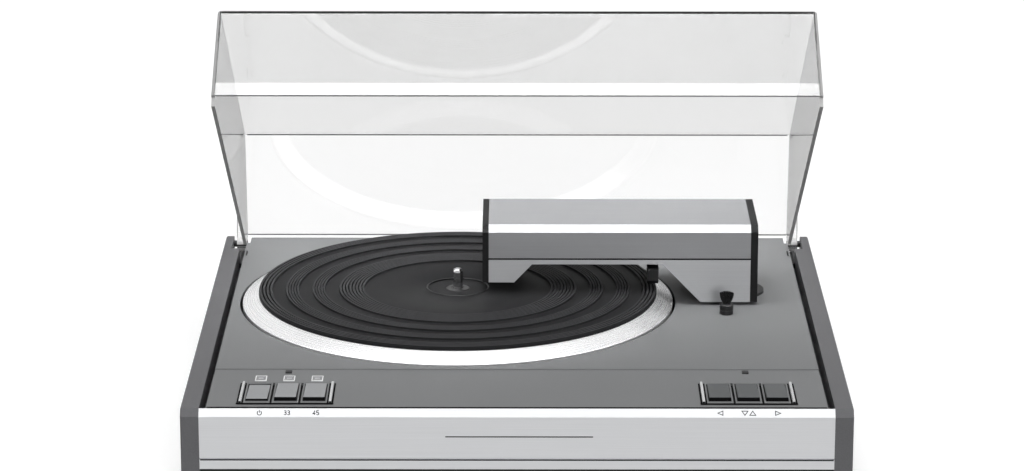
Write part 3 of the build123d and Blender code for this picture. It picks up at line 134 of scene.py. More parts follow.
class TurntableColours(bpy.types.PropertyGroup):
    """Colours of the finishes, as they look on the screen."""
    deck: bpy.props.FloatVectorProperty(
        name="Deck", description="Lacquer of the deck plate", subtype="COLOR", default=srgb("78797a"))
    fascia: bpy.props.FloatVectorProperty(
        name="Fascia", description="Brushed aluminium of the front", subtype="COLOR",
        default=srgb("d4d5d7"))
    bridge: bpy.props.FloatVectorProperty(
        name="Bridge", description="Brushed skin of the tracking bridge", subtype="COLOR",
        default=srgb("939496"))
    bridge_panel: bpy.props.FloatVectorProperty(
        name="Bridge panel", description="Paler front panel of the tracking bridge", subtype="COLOR",
        default=srgb("a9aaac"))
    cap: bpy.props.FloatVectorProperty(
        name="End caps", description="Grained ends of the tracking bridge", subtype="COLOR",
        default=srgb("161617"))
    cheek: bpy.props.FloatVectorProperty(
        name="Cheeks", description="Textured paint on the sides of the case", subtype="COLOR",
        default=srgb("5c5c5e"))
    casing: bpy.props.FloatVectorProperty(
        name="Casing", description="Moulded plinth behind the fascia", subtype="COLOR",
        default=srgb("101011"))
    mat: bpy.props.FloatVectorProperty(
        name="Mat", description="Rubber of the platter mat", subtype="COLOR", default=srgb("212122"))
    platter: bpy.props.FloatVectorProperty(
        name="Platter", description="Turned aluminium of the platter", subtype="COLOR",
        default=srgb("f8f8f9"))
    left_key: bpy.props.FloatVectorProperty(
        name="Left keys", description="Satin tops of the three left keys", subtype="COLOR",
        default=srgb("98999b"))
    # The right keys' darker tone is painted shade: the same satin paint as the left keys, shaded.
    right_key: bpy.props.FloatVectorProperty(
        name="Right keys", description="Satin tops of the three right keys", subtype="COLOR",
        default=srgb("585a5b"))
    ink: bpy.props.FloatVectorProperty(
        name="Print", description="Ink of the printed symbols", subtype="COLOR", default=srgb("151516"))
    cover: bpy.props.FloatVectorProperty(
        name="Dust cover", description="Tint of the clear cover", subtype="COLOR", default=srgb("f9f9f9"))
    # Painted shade: the darker tint of the cover's front wall, and a little of its top panel.
    cover_shade: bpy.props.FloatVectorProperty(
        name="Cover shade", description="Tint of the cover's hazier front wall", subtype="COLOR",
        default=srgb("dcdcdc"))
    # Painted shade at the cover's bends, standing in for refraction.
    cover_bend: bpy.props.FloatVectorProperty(
        name="Cover bends", description="Tone of the cover's bends", subtype="COLOR",
        default=srgb("bcbcbc"))
    # Darker sawn rims: partly their frosted edge, partly painted shade.
    cover_rim: bpy.props.FloatVectorProperty(
        name="Cover rims", description="Tone of the cover's sawn rims", subtype="COLOR",
        default=srgb("777777"))


# Shaders
finishes = {}


def feed(tree, node, inputs):
    """Gives a node's inputs their values, or links them to the outputs of other nodes."""
    for name, value in inputs.items():
        if isinstance(value, tuple) and isinstance(value[0], bpy.types.Node):
            tree.links.new(value[0].outputs[value[1]], node.inputs[name])
        else:
            node.inputs[name].default_value = value


def add_node(tree, kind, settings=None, inputs=None, stops=()):
    """Adds one shader node with its settings, its values or links, and its ramp's two stops."""
    made = tree.nodes.new(kind)
    for name, value in (settings or {}).items():
        setattr(made, name, value)
    feed(tree, made, inputs or {})
    for index, (place, colour) in enumerate(stops):
        made.color_ramp.elements[index].position = place
        made.color_ramp.elements[index].color = colour
    return made


def start_finish(name, **sockets):
    """Starts a material with a surface shader, whose sockets get the given values, and coordinates."""
    finishes[name] = bpy.data.materials.new(name)
    finishes[name].use_nodes = True
    tree = finishes[name].node_tree
    tree.nodes.clear()
    shader = add_node(tree, "ShaderNodeBsdfPrincipled",
                      inputs={key.replace("_", " "): value for key, value in sockets.items()})
    add_node(tree, "ShaderNodeOutputMaterial", inputs={"Surface": (shader, "BSDF")})
    return tree, shader, add_node(tree, "ShaderNodeTexCoord")


def patterned(tree, shader, hue, tones, tone, relief, wear, depth, strength, roughness, swing):
    """Lets patterns move the colour, raise a bump and move the roughness.

    The colour is the hue times a grey that the first pattern moves between the two tones. The second
    raises a bump of that depth in metres. The third moves the roughness by the swing, a share of it.
    """
    ramp = add_node(tree, "ShaderNodeValToRGB", inputs={"Fac": tone},
                    stops=[(0.25, (*[tones[0]] * 3, 1.0)), (0.75, (*[tones[1]] * 3, 1.0))])
    mixed = add_node(tree, "ShaderNodeMix", {"data_type": "RGBA", "blend_type": "MULTIPLY"}, {
        0: 1.0, 6: linear(hue), 7: (ramp, "Color")})
    bump = add_node(tree, "ShaderNodeBump", inputs={
        "Height": relief, "Distance": depth, "Strength": strength})
    rough = add_node(tree, "ShaderNodeMapRange", inputs={
        "Value": wear, "To Min": roughness * (1 - swing), "To Max": roughness * (1 + swing)})
    feed(tree, shader, {"Base Color": (mixed, 2), "Normal": (bump, "Normal"), "Roughness": (rough, "Result")})


def grained(name, hue, grain_mm, depth_mm, low, high, **sockets):
    """A moulded or sprayed surface: a grain of that size with its bump, and broad faint mottling."""
    tree, shader, place = start_finish(name, **sockets)
    mottles_per_mm = 0.028
    fine = add_node(tree, "ShaderNodeTexNoise", inputs={
        "Vector": (place, "Object"), "Scale": 1 / (grain_mm * MM), "Detail": 3.0, "Roughness": 0.6})
    broad = add_node(tree, "ShaderNodeTexNoise", inputs={
        "Vector": (place, "Object"), "Scale": mottles_per_mm / MM, "Detail": 2.0})
    both = add_node(tree, "ShaderNodeMix", {"data_type": "FLOAT"}, {
        0: 0.35, 2: (fine, "Fac"), 3: (broad, "Fac")})
    patterned(tree, shader, hue, (low, high), (both, 0), (fine, "Fac"), (broad, "Fac"),
              depth_mm * MM, 1.0, sockets["Roughness"], 0.1)


def brushed(name, hue, low, high, lines_per_mm=(0.014, 2.6, 2.6), **sockets):
    """Brushed metal: noise stretched along the brushing, with so many lines to a millimetre each way."""
    tree, shader, place = start_finish(name, **sockets)
    lines = add_node(tree, "ShaderNodeMapping", inputs={
        "Vector": (place, "Object"), "Scale": [count / MM for count in lines_per_mm]})
    streak = add_node(tree, "ShaderNodeTexNoise", inputs={
        "Vector": (lines, "Vector"), "Scale": 1.0, "Detail": 4.0, "Roughness": 0.65})
    pattern = (streak, "Fac")
    patterned(tree, shader, hue, (low, high), pattern, pattern, pattern,
              0.015 * MM, 0.5, sockets["Roughness"], 0.2)


def turned_rings(name, hue, ring_mm, depth_mm, low, high, **sockets):
    """Turned metal: a noise of the distance from the spindle's axis gives fine rings."""
    tree, shader, place = start_finish(name, **sockets)
    flat = add_node(tree, "ShaderNodeVectorMath", {"operation": "MULTIPLY"}, {
        0: (place, "Object"), 1: (1.0, 1.0, 0.0)})
    radius = add_node(tree, "ShaderNodeVectorMath", {"operation": "LENGTH"}, {0: (flat, "Vector")})
    rings = add_node(tree, "ShaderNodeTexNoise", {"noise_dimensions": "1D"}, {
        "W": (radius, "Value"), "Scale": 1 / (ring_mm * MM), "Detail": 3.0})
    pattern = (rings, "Fac")
    patterned(tree, shader, hue, (low, high), pattern, pattern, pattern,
              depth_mm * MM, 0.5, sockets["Roughness"], 0.2)


def risen(tree, vector, low, high, start=0.0, end=1.0):
    """Goes from start to end where the vector's Z goes from low to high."""
    spread = add_node(tree, "ShaderNodeSeparateXYZ", inputs={"Vector": vector})
    level = add_node(tree, "ShaderNodeMapRange", inputs={
        "Value": (spread, "Z"), "From Min": low, "From Max": high, "To Min": start, "To Max": end})
    return level, "Result"


def paint_sheen_above(name, low, high, gain):
    """Paints a sheen: multiplies a finish's colour by up to the gain where the height goes from low to high.
    """
    tree = finishes[name].node_tree
    shader = next(node for node in tree.nodes if node.type == "BSDF_PRINCIPLED")
    under = shader.inputs["Base Color"].links[0].from_node
    place = add_node(tree, "ShaderNodeTexCoord")
    mixed = add_node(tree, "ShaderNodeMix", {"data_type": "RGBA", "blend_type": "MULTIPLY"}, {
        0: 1.0, 6: (under, 2), 7: risen(tree, (place, "Object"), low, high, 1.0, gain)})
    feed(tree, shader, {"Base Color": (mixed, 2)})


def paint_with_black_shade(name, hue, coordinate, low, high, **sockets):
    """Satin paint, black below it as painted shade: the paint starts where Z of that coordinate goes from low
    to high.
    """
    tree, shader, place = start_finish(name, **sockets)
    grains_per_mm = 1.1
    grain = add_node(tree, "ShaderNodeTexNoise", inputs={
        "Vector": (place, "Object"), "Scale": grains_per_mm / MM, "Detail": 3.0})
    darker, lighter = [(*[channel * tone for channel in linear(hue)[:3]], 1.0) for tone in (0.93, 1.06)]
    paint = add_node(tree, "ShaderNodeValToRGB", inputs={"Fac": (grain, "Fac")},
                     stops=[(0.25, darker), (0.75, lighter)])
    # Where the paint has not started the colour is black: painted shade on upright sides and down in grooves.
    mixed = add_node(tree, "ShaderNodeMix", {"data_type": "RGBA"}, {
        0: risen(tree, (place, coordinate), low, high), 6: linear("080809"), 7: (paint, "Color")})
    bump = add_node(tree, "ShaderNodeBump", inputs={
        "Height": (grain, "Fac"), "Distance": 0.01 * MM, "Strength": 1.0})
    feed(tree, shader, {"Base Color": (mixed, 2), "Normal": (bump, "Normal")})


def mesh_array(items, attribute, width=3):
    """One attribute of all of a mesh's points or faces, as an array of that width."""
    values = np.zeros(len(items) * width)
    items.foreach_get(attribute, values)
    return values.reshape(-1, width)


def panel_directions(name, count):
    """The outward directions that hold most of a node's area, opposite ones taken together."""
    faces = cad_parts[name].data.polygons
    normals = mesh_array(faces, "normal")
    areas = mesh_array(faces, "area", 1)[:, 0]
    leading = np.where(np.abs(normals[:, 1:]).max(axis=1) > 0.1,
                       np.sign(normals[:, 2] + normals[:, 1] * 1e-3), np.sign(normals[:, 0]))
    kinds, index = np.unique(np.round(normals * leading[:, None], 2), axis=0, return_inverse=True)
    total = np.bincount(index.ravel(), weights=areas)
    return kinds[np.argsort(-total)[:count]].tolist()


def farthest(name, direction):
    """How far a node's points reach along a direction."""
    return (mesh_array(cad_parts[name].data.vertices, "co") @ np.asarray(direction)).max()


def sloping_face(name):
    """Middle height and depth, and outward direction, of a node's faces that look forward and up."""
    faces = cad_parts[name].data.polygons
    normals = mesh_array(faces, "normal")
    kept = (normals[:, 1] < -0.3) & (normals[:, 2] > 0.3)
    areas = mesh_array(faces, "area", 1)[kept]
    middle = (mesh_array(faces, "center")[kept] * areas).sum(axis=0) / areas.sum()
    normal = (normals[kept] * areas).sum(axis=0)
    return middle * (0, 1, 1), normal / np.linalg.norm(normal)


def clear_cover(name, hues):
    """Formed acrylic, clear on its broad panels.

    The front wall is darker, and the top panel a little, as painted shade. The bends' translucent grey is
    painted shade that stands in for refraction, and the sawn rims' darker grey is partly their frosted edge
    and partly painted shade. A bend is where the surface faces none of the panels' directions; a rim faces
    the top panel's way, but lies far below it.
    """
    tree, shader, place = start_finish(name, IOR=1.49)
    wall_depth = 55 * MM
    scuffs_per_mm = 0.009
    top, *others = panel_directions("dust_cover", 4)
    facings = []
    for direction in (top, *others):
        dot = add_node(tree, "ShaderNodeVectorMath", {"operation": "DOT_PRODUCT"}, {
            0: (place, "Normal"), 1: direction})
        facings.append((add_node(tree, "ShaderNodeMath", {"operation": "ABSOLUTE"}, {0: (dot, "Value")}), 0))
    best = facings[0]
    for facing in facings[1:]:
        best = (add_node(tree, "ShaderNodeMath", {"operation": "MAXIMUM"}, {0: best, 1: facing}), 0)
    front = facings[1 + min(range(3), key=lambda index: others[index][1])]
    reach = add_node(tree, "ShaderNodeVectorMath", {"operation": "DOT_PRODUCT"}, {
        0: (place, "Object"), 1: top})
    edge = farthest("dust_cover", top) - wall_depth
    scuffs = add_node(tree, "ShaderNodeTexNoise", inputs={
        "Vector": (place, "Object"), "Scale": scuffs_per_mm / MM, "Detail": 2.0})
    level = {}
    # The front wall and top panel darken as painted shade, varied a little by scuffs.
    for key, value, start, end, low, high in (
            ("panel", best, 0.93, 0.985, 0.0, 1.0),
            ("low", (reach, "Value"), edge, edge + 1 * MM, 1.0, 0.0),
            ("top", facings[0], 0.9, 0.97, 0.0, 1.0),
            ("front", front, 0.9, 0.97, 0.0, 1.0),
            ("top shade", facings[0], 0.9, 0.97, 0.0, 0.2),
            ("scuffs", (scuffs, "Fac"), 0.2, 0.8, 0.85, 1.0)):
        level[key] = (add_node(tree, "ShaderNodeMapRange", inputs={
            "Value": value, "From Min": start, "From Max": end, "To Min": low, "To Max": high}), "Result")
    for key, operation, first, second in (
            ("rim", "MULTIPLY", "low", "top"), ("clear", "SUBTRACT", "panel", "rim"),
            ("shaded_walls", "MAXIMUM", "front", "top shade"), ("shade_and_scuffs", "MULTIPLY", "shaded_walls", "scuffs")):
        level[key] = (add_node(tree, "ShaderNodeMath", {"operation": operation}, {
            0: level[first], 1: level[second]}), 0)
    sheet = add_node(tree, "ShaderNodeValToRGB", inputs={"Fac": level["shade_and_scuffs"]}, stops=[
        (0.0, linear(hues["cover"])), (1.0, linear(hues["cover_shade"]))])
    dull = add_node(tree, "ShaderNodeMix", {"data_type": "RGBA"}, {
        0: level["rim"], 6: linear(hues["cover_bend"]), 7: linear(hues["cover_rim"])})
    mixed = add_node(tree, "ShaderNodeMix", {"data_type": "RGBA"}, {
        0: level["clear"], 6: (dull, 2), 7: (sheet, "Color")})
    feed(tree, shader, {"Base Color": (mixed, 2)})
    for socket, dulled, clear in (("Transmission Weight", 0.25, 1.0), ("Roughness", 0.3, 0.0)):
        carried = add_node(tree, "ShaderNodeMapRange", inputs={
            "Value": level["clear"], "To Min": dulled, "To Max": clear})
        feed(tree, shader, {socket: (carried, "Result")})


def make_finishes(hues):
    """Every finish of the turntable.

    After its name and colour, a grained finish has the size and relief of its grain in millimetres,
    then its lowest and highest tone. A brushed one has the two tones, then its lines to a millimetre.
    """
    # Deck: metallic grey lacquer sprayed on pressed metal; fine flakes, soft even sheen.
    grained("sprayed_metallic_lacquer", hues["deck"], 0.9, 0.012, 0.93, 1.06,
            Metallic=0.1, Roughness=0.5, IOR=1.2)
    # Fascia: anodised aluminium brushed lengthways; bright with long fine streaks.
    brushed("brushed_anodised_aluminium", hues["fascia"], 0.94, 1.03,
            Metallic=0.25, Roughness=0.36, Anisotropic=0.4)
    # Bridge: sheet aluminium brushed lengthways under satin silver lacquer; even mid silver.
    brushed("brushed_lacquered_sheet", hues["bridge"], 0.94, 1.04, Metallic=0.35, Roughness=0.2, IOR=1.2)
    # Front panel of the bridge: the same sheet, blasted before the lacquer; paler and more matt.
    brushed("blasted_lacquered_sheet", hues["bridge_panel"], 0.95, 1.04,
            Metallic=0.3, Roughness=0.45, IOR=1.2)
    # Bridge ends: ABS moulded with a leather-like grain; nearly black, broken highlights.
    grained("grained_end_abs", hues["cap"], 0.8, 0.08, 0.75, 1.25, Roughness=0.55, IOR=1.3)
    # Cheeks: textured paint sprayed over sheet metal; fine pebbled grain, dull sheen.
    grained("textured_cheek_paint", hues["cheek"], 0.7, 0.05, 0.82, 1.15, Roughness=0.5, IOR=1.3)
    # Plinth: structural foam moulding; dull and slightly cloudy.
    grained("foam_moulded_plinth", hues["casing"], 1.2, 0.05, 0.85, 1.1, Roughness=0.6, IOR=1.54)
    # Small black mouldings: smooth ABS straight from a polished mould.
    grained("smooth_black_abs", "141415", 0.5, 0.01, 0.85, 1.15, Roughness=0.32, IOR=1.54)
    # Mat: pressed nitrile rubber; charcoal, with a painted sheen that makes the ridge tops paler than the
    # grooves.
    grained("pressed_mat_rubber", hues["mat"], 0.6, 0.02, 0.88, 1.12, Roughness=0.4, IOR=1.09)
    paint_sheen_above("pressed_mat_rubber", -0.3 * MM, 0.0, 2.3)
    # Feet and stops: moulded rubber; black and quite dull.
    grained("moulded_rubber", "19191a", 0.6, 0.04, 0.8, 1.2, Roughness=0.75, IOR=1.52)
    # Painted shadow lines: black strips laid in seams and grooves where shade falls; no shine at all.
    grained("painted_shadow_strips", "060607", 0.5, 0.04, 0.8, 1.2, Roughness=0.9, IOR=1.1)
    # Platter: cast aluminium turned on a lathe; rings finer than a pixel are drawn 0.4 mm wide.
    turned_rings("turned_platter_aluminium", hues["platter"], 0.4, 0.004, 0.95, 1.01,
                 Metallic=0.75, Roughness=0.28)
    # Spindle, rods and screws: ground steel; bright, with faint rings from the wheel.
    brushed("ground_steel", "c9c9ca", 0.92, 1.04, (0.9, 0.9, 2.6), Metallic=1.0, Roughness=0.2)
    # Collar, recess trim, hinge pins: steel blackened in hot salts; nearly black, soft metal gleam.
    brushed("blackened_steel", "2c2c2d", 0.85, 1.15, (0.9, 0.9, 2.6), Metallic=0.6, Roughness=0.35)
    # Key trims and ground post: chromed brass; mirror bright with a trace of polishing haze.
    brushed("polished_chrome", "f1f2f3", 0.97, 1.02, (0.04, 0.3, 0.3), Metallic=1.0, Roughness=0.08)
    # Keys: satin silver paint on their tops, fine speckle; their upright sides turn black as painted shade,
    # and the right keys are the same paint, darker as painted shade.
    for side in ("left_key", "right_key"):
        paint_with_black_shade(side + "_satin_paint", hues[side], "Normal", 0.55, 0.75,
                           Roughness=0.42, IOR=1.2)
    # Key frames: painted like the deck on top, black down in the grooves as painted shade.
    paint_with_black_shade("key_frame_paint_shaded_grooves", hues["deck"], "Object", above_deck(-0.5), above_deck(-0.1),
                       Roughness=0.45, IOR=1.2)
    # Base: steel sheet with matt black paint; fine orange peel.
    grained("painted_steel_base", "222223", 1.4, 0.02, 0.9, 1.1, Metallic=0.1, Roughness=0.5)
    # Turret and bridge frame: die-cast zinc with a dull black coat; slightly sandy.
    grained("coated_die_casting", "1d1d1e", 0.5, 0.04, 0.8, 1.2, Metallic=0.3, Roughness=0.5)
    # Circuit boards: glass-epoxy laminate with green lacquer; faint cloth weave.
    grained("lacquered_board", "24593a", 1.6, 0.01, 0.88, 1.1, Roughness=0.35, IOR=1.55)
    # Transformer core: stacked iron sheets; layer lines 0.5 mm apart.
    brushed("laminated_iron", "5a5856", 0.75, 1.1, (0.004, 0.004, 2.0), Metallic=0.7, Roughness=0.5)
    # Coils: enamelled copper wire wound in flat layers.
    brushed("enamelled_copper_wire", "b5673a", 0.7, 1.1, (0.3, 0.3, 3.0), Metallic=0.85, Roughness=0.35)
    # Bearing and counterweight: turned brass; warm and bright.
    brushed("turned_brass", "cda764", 0.9, 1.05, (0.9, 0.9, 2.6), Metallic=1.0, Roughness=0.25)
    # Signal sockets: brass with dull nickel plating; warm grey.
    grained("nickel_plated_brass", "8f8d88", 0.5, 0.01, 0.92, 1.05, Metallic=0.9, Roughness=0.35)
    # Rotor: pressed ferrite magnet; dark, gritty.
    grained("pressed_ferrite", "2b2a2a", 0.4, 0.03, 0.8, 1.2, Metallic=0.2, Roughness=0.65)
    # Carriage and pulleys: machined acetal; milky white, soft gloss.
    grained("milky_acetal", "dcdbd6", 0.5, 0.01, 0.95, 1.03, Roughness=0.35, IOR=1.48,
            Subsurface_Weight=0.1)
    # Lamp windows: smoked acrylic; dark grey, glossy.
    grained("smoked_acrylic", "8f9092", 0.5, 0.002, 0.96, 1.03, Roughness=0.15, IOR=1.49)
    # Window borders: white silk-screen print; flat with a slight tooth.
    grained("white_print", "eeeeee", 0.4, 0.01, 0.95, 1.02, Roughness=0.5, IOR=1.5)
    # Window marks: pale grey print under the acrylic.
    grained("grey_print", "a2a3a4", 0.4, 0.01, 0.93, 1.04, Roughness=0.5, IOR=1.5)
    # Symbols and ruled line: dark silk-screen ink; flat, soft edges. The cover's bend line uses it too, as
    # painted shade.
    grained("dark_print_and_shade_line", hues["ink"], 0.4, 0.01, 0.9, 1.1, Roughness=0.7, IOR=1.1)
    # Brush: drawn nylon; black with a thin shine along each hair.
    grained("drawn_black_nylon", "0e0e0f", 0.4, 0.01, 0.8, 1.2, Roughness=0.4, IOR=1.53)
    # Socket collars: dyed nylon rings, one white and one red; smooth, faintly waxy.
    grained("white_nylon_collar", "e4e3df", 0.5, 0.01, 0.95, 1.03, Roughness=0.4, IOR=1.53)
    grained("red_nylon_collar", "a3231f", 0.5, 0.01, 0.92, 1.05, Roughness=0.4, IOR=1.53)
    # Dust cover: acrylic cast as a sheet and formed hot; clear panels, with painted shade in a darker front
    # wall, greyer bends and rims, the rims partly frosted.
    clear_cover("cast_clear_acrylic", hues)


FINISHED_NODES = {
    "sprayed_metallic_lacquer": ("deck_plate",),
    "foam_moulded_plinth": ("plinth",),
    "brushed_anodised_aluminium": ("front_fascia",),
    "textured_cheek_paint": ("left_cheek", "right_cheek", "rear_panel"),
    "smooth_black_abs": ("mains_inlet", "tracking_yoke", "tonearm", "cartridge", "feet", "brush_holder"),
    "nickel_plated_brass": ("phono_sockets",),
    "polished_chrome": ("ground_post", "key_trims"),
    "painted_steel_base": ("base_pan",),
    "lacquered_board": ("main_board", "key_boards"),
    "laminated_iron": ("transformer",),
    "enamelled_copper_wire": ("motor_stator",),
    "turned_brass": ("bearing_housing", "counterweight"),
    "key_frame_paint_shaded_grooves": ("left_key_frame", "right_key_frame"),
    "smoked_acrylic": ("lamp_windows",),
    "moulded_rubber": ("cover_bumpers", "drive_belt", "foot_pads"),
    "blackened_steel": ("hinge_pins",),
    "coated_die_casting": ("pivot_turret", "bridge_frame", "bridge_floor"),
    "pressed_ferrite": ("rotor_ring",),
    "cast_clear_acrylic": ("dust_cover",),
    "brushed_lacquered_sheet": ("bridge_cover", "bridge_rear_panel"),
    "blasted_lacquered_sheet": ("bridge_front_panel",),
    "grained_end_abs": ("bridge_left_cap", "bridge_right_cap"),
    "ground_steel": ("guide_rods", "tracking_motor", "idler_axle", "spindle"),
    "milky_acetal": ("carriage", "drive_pulley", "idler_pulley", "stylus"),
    "left_key_satin_paint": ("power_key", "speed_33_key", "speed_45_key"),
    "right_key_satin_paint": ("move_left_key", "lift_key", "move_right_key"),
    "turned_platter_aluminium": ("platter",),
    "pressed_mat_rubber": ("platter_mat",),
    "drawn_black_nylon": ("brush_bristles",),
}


# Surfaces worked out with numpy: each is a pair of points and faces
def put_mesh(name, surface, finish, body, smooth=True):
    """Makes a mesh object from whole arrays of points and faces, and rides it on a body."""
    points, faces = surface
    mesh = bpy.data.meshes.new(name)
    mesh.from_pydata(points.reshape(-1, 3).tolist(), [], faces)
    mesh.validate()
    if smooth:
        mesh.shade_smooth()
        mesh.set_sharp_from_angle(angle=math.radians(32))
    piece = bpy.data.objects.new(name, mesh)
    bpy.context.scene.collection.objects.link(piece)
    mesh.materials.append(finishes[finish])
    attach(piece, body)
    return piece


def turned_surface(profile, centre, steps, closed=False):
    """A turned form: profile point (r, h) goes to (r cos a, r sin a, h) for each angle a.

    The profile runs outwards, then up, then inwards, so that faces point out. A radius of 0 is one pole.
    """
    profile = np.asarray(profile, float)
    angle = np.linspace(0, 2 * math.pi, steps, endpoint=False)
    across = profile[:, 0, None] * np.cos(angle)
    along = profile[:, 0, None] * np.sin(angle)
    height = np.repeat(profile[:, 1, None], steps, axis=1)
    rings = np.stack([across, along, height], axis=-1) + np.asarray(centre, float)
    count = len(profile)
    rows = np.arange(count if closed else count - 1)[:, None]
    spot = np.arange(steps)
    here, above = rows * steps, (rows + 1) % count * steps
    quads = np.stack([here + spot, here + (spot + 1) % steps, above + (spot + 1) % steps, above + spot],
                     axis=-1)
    poles = [row for row in (0, count - 1) if not closed and profile[row, 0] == 0]
    index = np.arange(count * steps)
    for row in poles:
        index[row * steps:(row + 1) * steps] = row * steps
    quads = index[quads].reshape(-1, 4)
    flat = (quads[:, 0] == quads[:, 1]) | (quads[:, 2] == quads[:, 3])
    thin = quads[flat]
    below = thin[:, 0] == thin[:, 1]
    corner = np.where(below, thin[:, 0], thin[:, 3])
    first = np.where(below, thin[:, 2], thin[:, 0])
    second = np.where(below, thin[:, 3], thin[:, 1])
    faces = quads[~flat].tolist() + np.stack([corner, first, second], axis=-1).tolist()
    used = np.unique(index)
    place = np.zeros(len(index), int)
    place[used] = np.arange(len(used))
    return rings.reshape(-1, 3)[used], [place[face].tolist() for face in faces]


def laid_back(surface, centre):
    """A form laid over so that its axis points to the rear: (x, y, z) goes to (-x, z, y)."""
    points, faces = surface
    return points[:, [0, 2, 1]] * (-1, 1, 1) + np.asarray(centre), faces


def bar_along(path, width, height, frame_axes, closed=False):
    """A flat bar carried along a path in a plane, which has an origin and directions right and up.

    A path point p gets the section p + n w, with n the mitred side direction and w from -width/2 to
    width/2, at the heights 0 and height along the plane's normal.
    """
    path = np.asarray(path, float)
    origin, right, up = frame_axes
    ahead = np.roll(path, -1, axis=0) - path
    behind = path - np.roll(path, 1, axis=0)
    if not closed:
        ahead[-1] = behind[-1]
        behind[0] = ahead[0]
    ahead /= np.linalg.norm(ahead, axis=1, keepdims=True)
    behind /= np.linalg.norm(behind, axis=1, keepdims=True)
    side = np.stack([-(ahead + behind)[:, 1], (ahead + behind)[:, 0]], axis=-1)
    side /= np.linalg.norm(side, axis=1, keepdims=True)
    stretch = 1 / np.maximum(np.sqrt((1 + np.sum(ahead * behind, axis=1)) / 2), 0.5)
    reach = side * stretch[:, None] * width / 2
    corners = np.stack([path - reach, path + reach, path + reach, path - reach], axis=1)
    lift = np.array([0, 0, height, height])[:, None] * np.cross(right, up)
    points = origin + corners[..., :1] * right + corners[..., 1:] * up + lift
    count = len(path)
    rows = np.arange(count if closed else count - 1)[:, None]
    ring = np.arange(4)
    here, beyond = rows * 4, (rows + 1) % count * 4
    faces = np.stack([here + ring, here + (ring + 1) % 4, beyond + (ring + 1) % 4, beyond + ring],
                     axis=-1).reshape(-1, 4).tolist()
    if not closed:
        faces += [[3, 2, 1, 0], [count * 4 - 4, count * 4 - 3, count * 4 - 2, count * 4 - 1]]
    return points.reshape(-1, 3), faces


def straight_bar(half, width, height, frame_axes):
    """A flat bar that runs half its length to the left and to the right of its plane's origin."""
    return bar_along([(-half, 0), (0, 0), (half, 0)], width, height, frame_axes)


def merged(parts):
    """One pair of points and faces from several."""
    points, faces, start = [], [], 0
    for part_points, part_faces in parts:
        points.append(part_points)
        faces += [[corner + start for corner in face] for face in part_faces]
        start += len(part_points)
    return np.concatenate(points), faces


def rounded_corner(centre, radius, start, end, steps=5):
    """Profile points on an arc about a centre, from one angle to another in degrees."""
    angle = np.radians(np.linspace(start, end, steps))
    return np.stack([centre[0] + radius * np.cos(angle), centre[1] + radius * np.sin(angle)], axis=-1)


# Operators: one for each piece or group of like pieces
class TURNTABLE_OT_finishes(bpy.types.Operator):
    """Give every part of the frame its finish"""
    bl_idname = "turntable.finishes"
    bl_label = "Finishes"

    def execute(self, context):
        colours = context.scene.turntable_colours
        make_finishes({name: colour_of(getattr(colours, name)) for name in TurntableColours.__annotations__})
        finish_of = {node: finish for finish, nodes in FINISHED_NODES.items() for node in nodes}
        for name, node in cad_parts.items():
            finish = finishes[finish_of[name]]
            if not node.material_slots:
                node.data.materials.append(finish)
            for place in node.material_slots:
                place.material = finish
        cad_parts["dust_cover"].visible_shadow = False
        return {"FINISHED"}


class TURNTABLE_OT_platter(bpy.types.Operator):
    """Turn the platter with its bevelled rim"""
    bl_idname = "turntable.platter"
    bl_label = "Platter"

    def execute(self, context):
        sizes = context.scene.turntable_sizes
        low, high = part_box("platter")
        radius = high.x
        edge = sizes.rim_edge
        bevel_in = radius - 11.5 * MM
        bevel_top = above_deck(7)
        bevel_low = above_deck(0.5)
        skirt_in = radius - 6 * MM
        web_under = above_deck(2)
        drop = 0.2 * edge
        slope = math.degrees(math.atan2(bevel_top - bevel_low, radius - bevel_in))
        top_arc = rounded_corner((bevel_in, bevel_top - edge), edge, 90, 90 - slope)[::-1]
        low_arc = rounded_corner((radius - edge, bevel_low - drop), edge, 90 - slope, 0)[::-1]
        profile = [(COLLAR, web_under), (skirt_in, web_under), (skirt_in, low.z), (radius - edge, low.z),
                   (radius, low.z + edge), *low_arc, *top_arc, (COLLAR, bevel_top)]
        piece = put_mesh("platter_turned", turned_surface(profile, (0, 0, 0), sizes.ring_steps, closed=True),
                         "turned_platter_aluminium", "platter_body")
        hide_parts("platter")
        return {"FINISHED"}


class TURNTABLE_OT_mat(bpy.types.Operator):
    """Press the platter mat with its groups of ridges, split by narrow grooves"""
    bl_idname = "turntable.mat"
    bl_label = "Platter mat"

    def execute(self, context):
        sizes = context.scene.turntable_sizes
        low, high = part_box("platter_mat")
        radius = high.x
        floor = -0.5 * MM
        recess_floor = -1.2 * MM
        hole = COLLAR + 0.3 * MM
        # A ridge has that many points, steep sides, and that share of its height below the floor
        points_each, steepness, below = 10, 3, 0.6
        line = [(hole, low.z), (radius - 0.3 * MM, low.z), (radius, low.z + 0.4 * MM)]
        # Each group: outer and inner radius as shares of the mat's, and its number of ridges
        groups = ((1.0, 0.928, 4), (0.866, 0.797, 5), (0.732, 0.665, 5), (0.598, 0.467, 8))
        for outer, inner, ridges in groups:
            spot = np.linspace(0, 1, ridges * points_each + 1)
            wave = 0.5 - 0.5 * np.cos(2 * math.pi * ridges * spot)
            height = floor + sizes.ridge_height * (np.minimum(wave * steepness, 1) - below)
            reach = radius * (outer + (inner - outer) * spot)
            line += np.stack([reach, height], axis=-1).tolist()
        line += [(RECESS + 0.4 * MM, floor), (RECESS, floor - 0.2 * MM), (RECESS, recess_floor),
                 (hole, recess_floor)]
        piece = put_mesh("mat_ridged", turned_surface(line, (0, 0, 0), sizes.ring_steps, closed=True),
                         "pressed_mat_rubber", "platter_body")
        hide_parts("platter_mat")
        return {"FINISHED"}


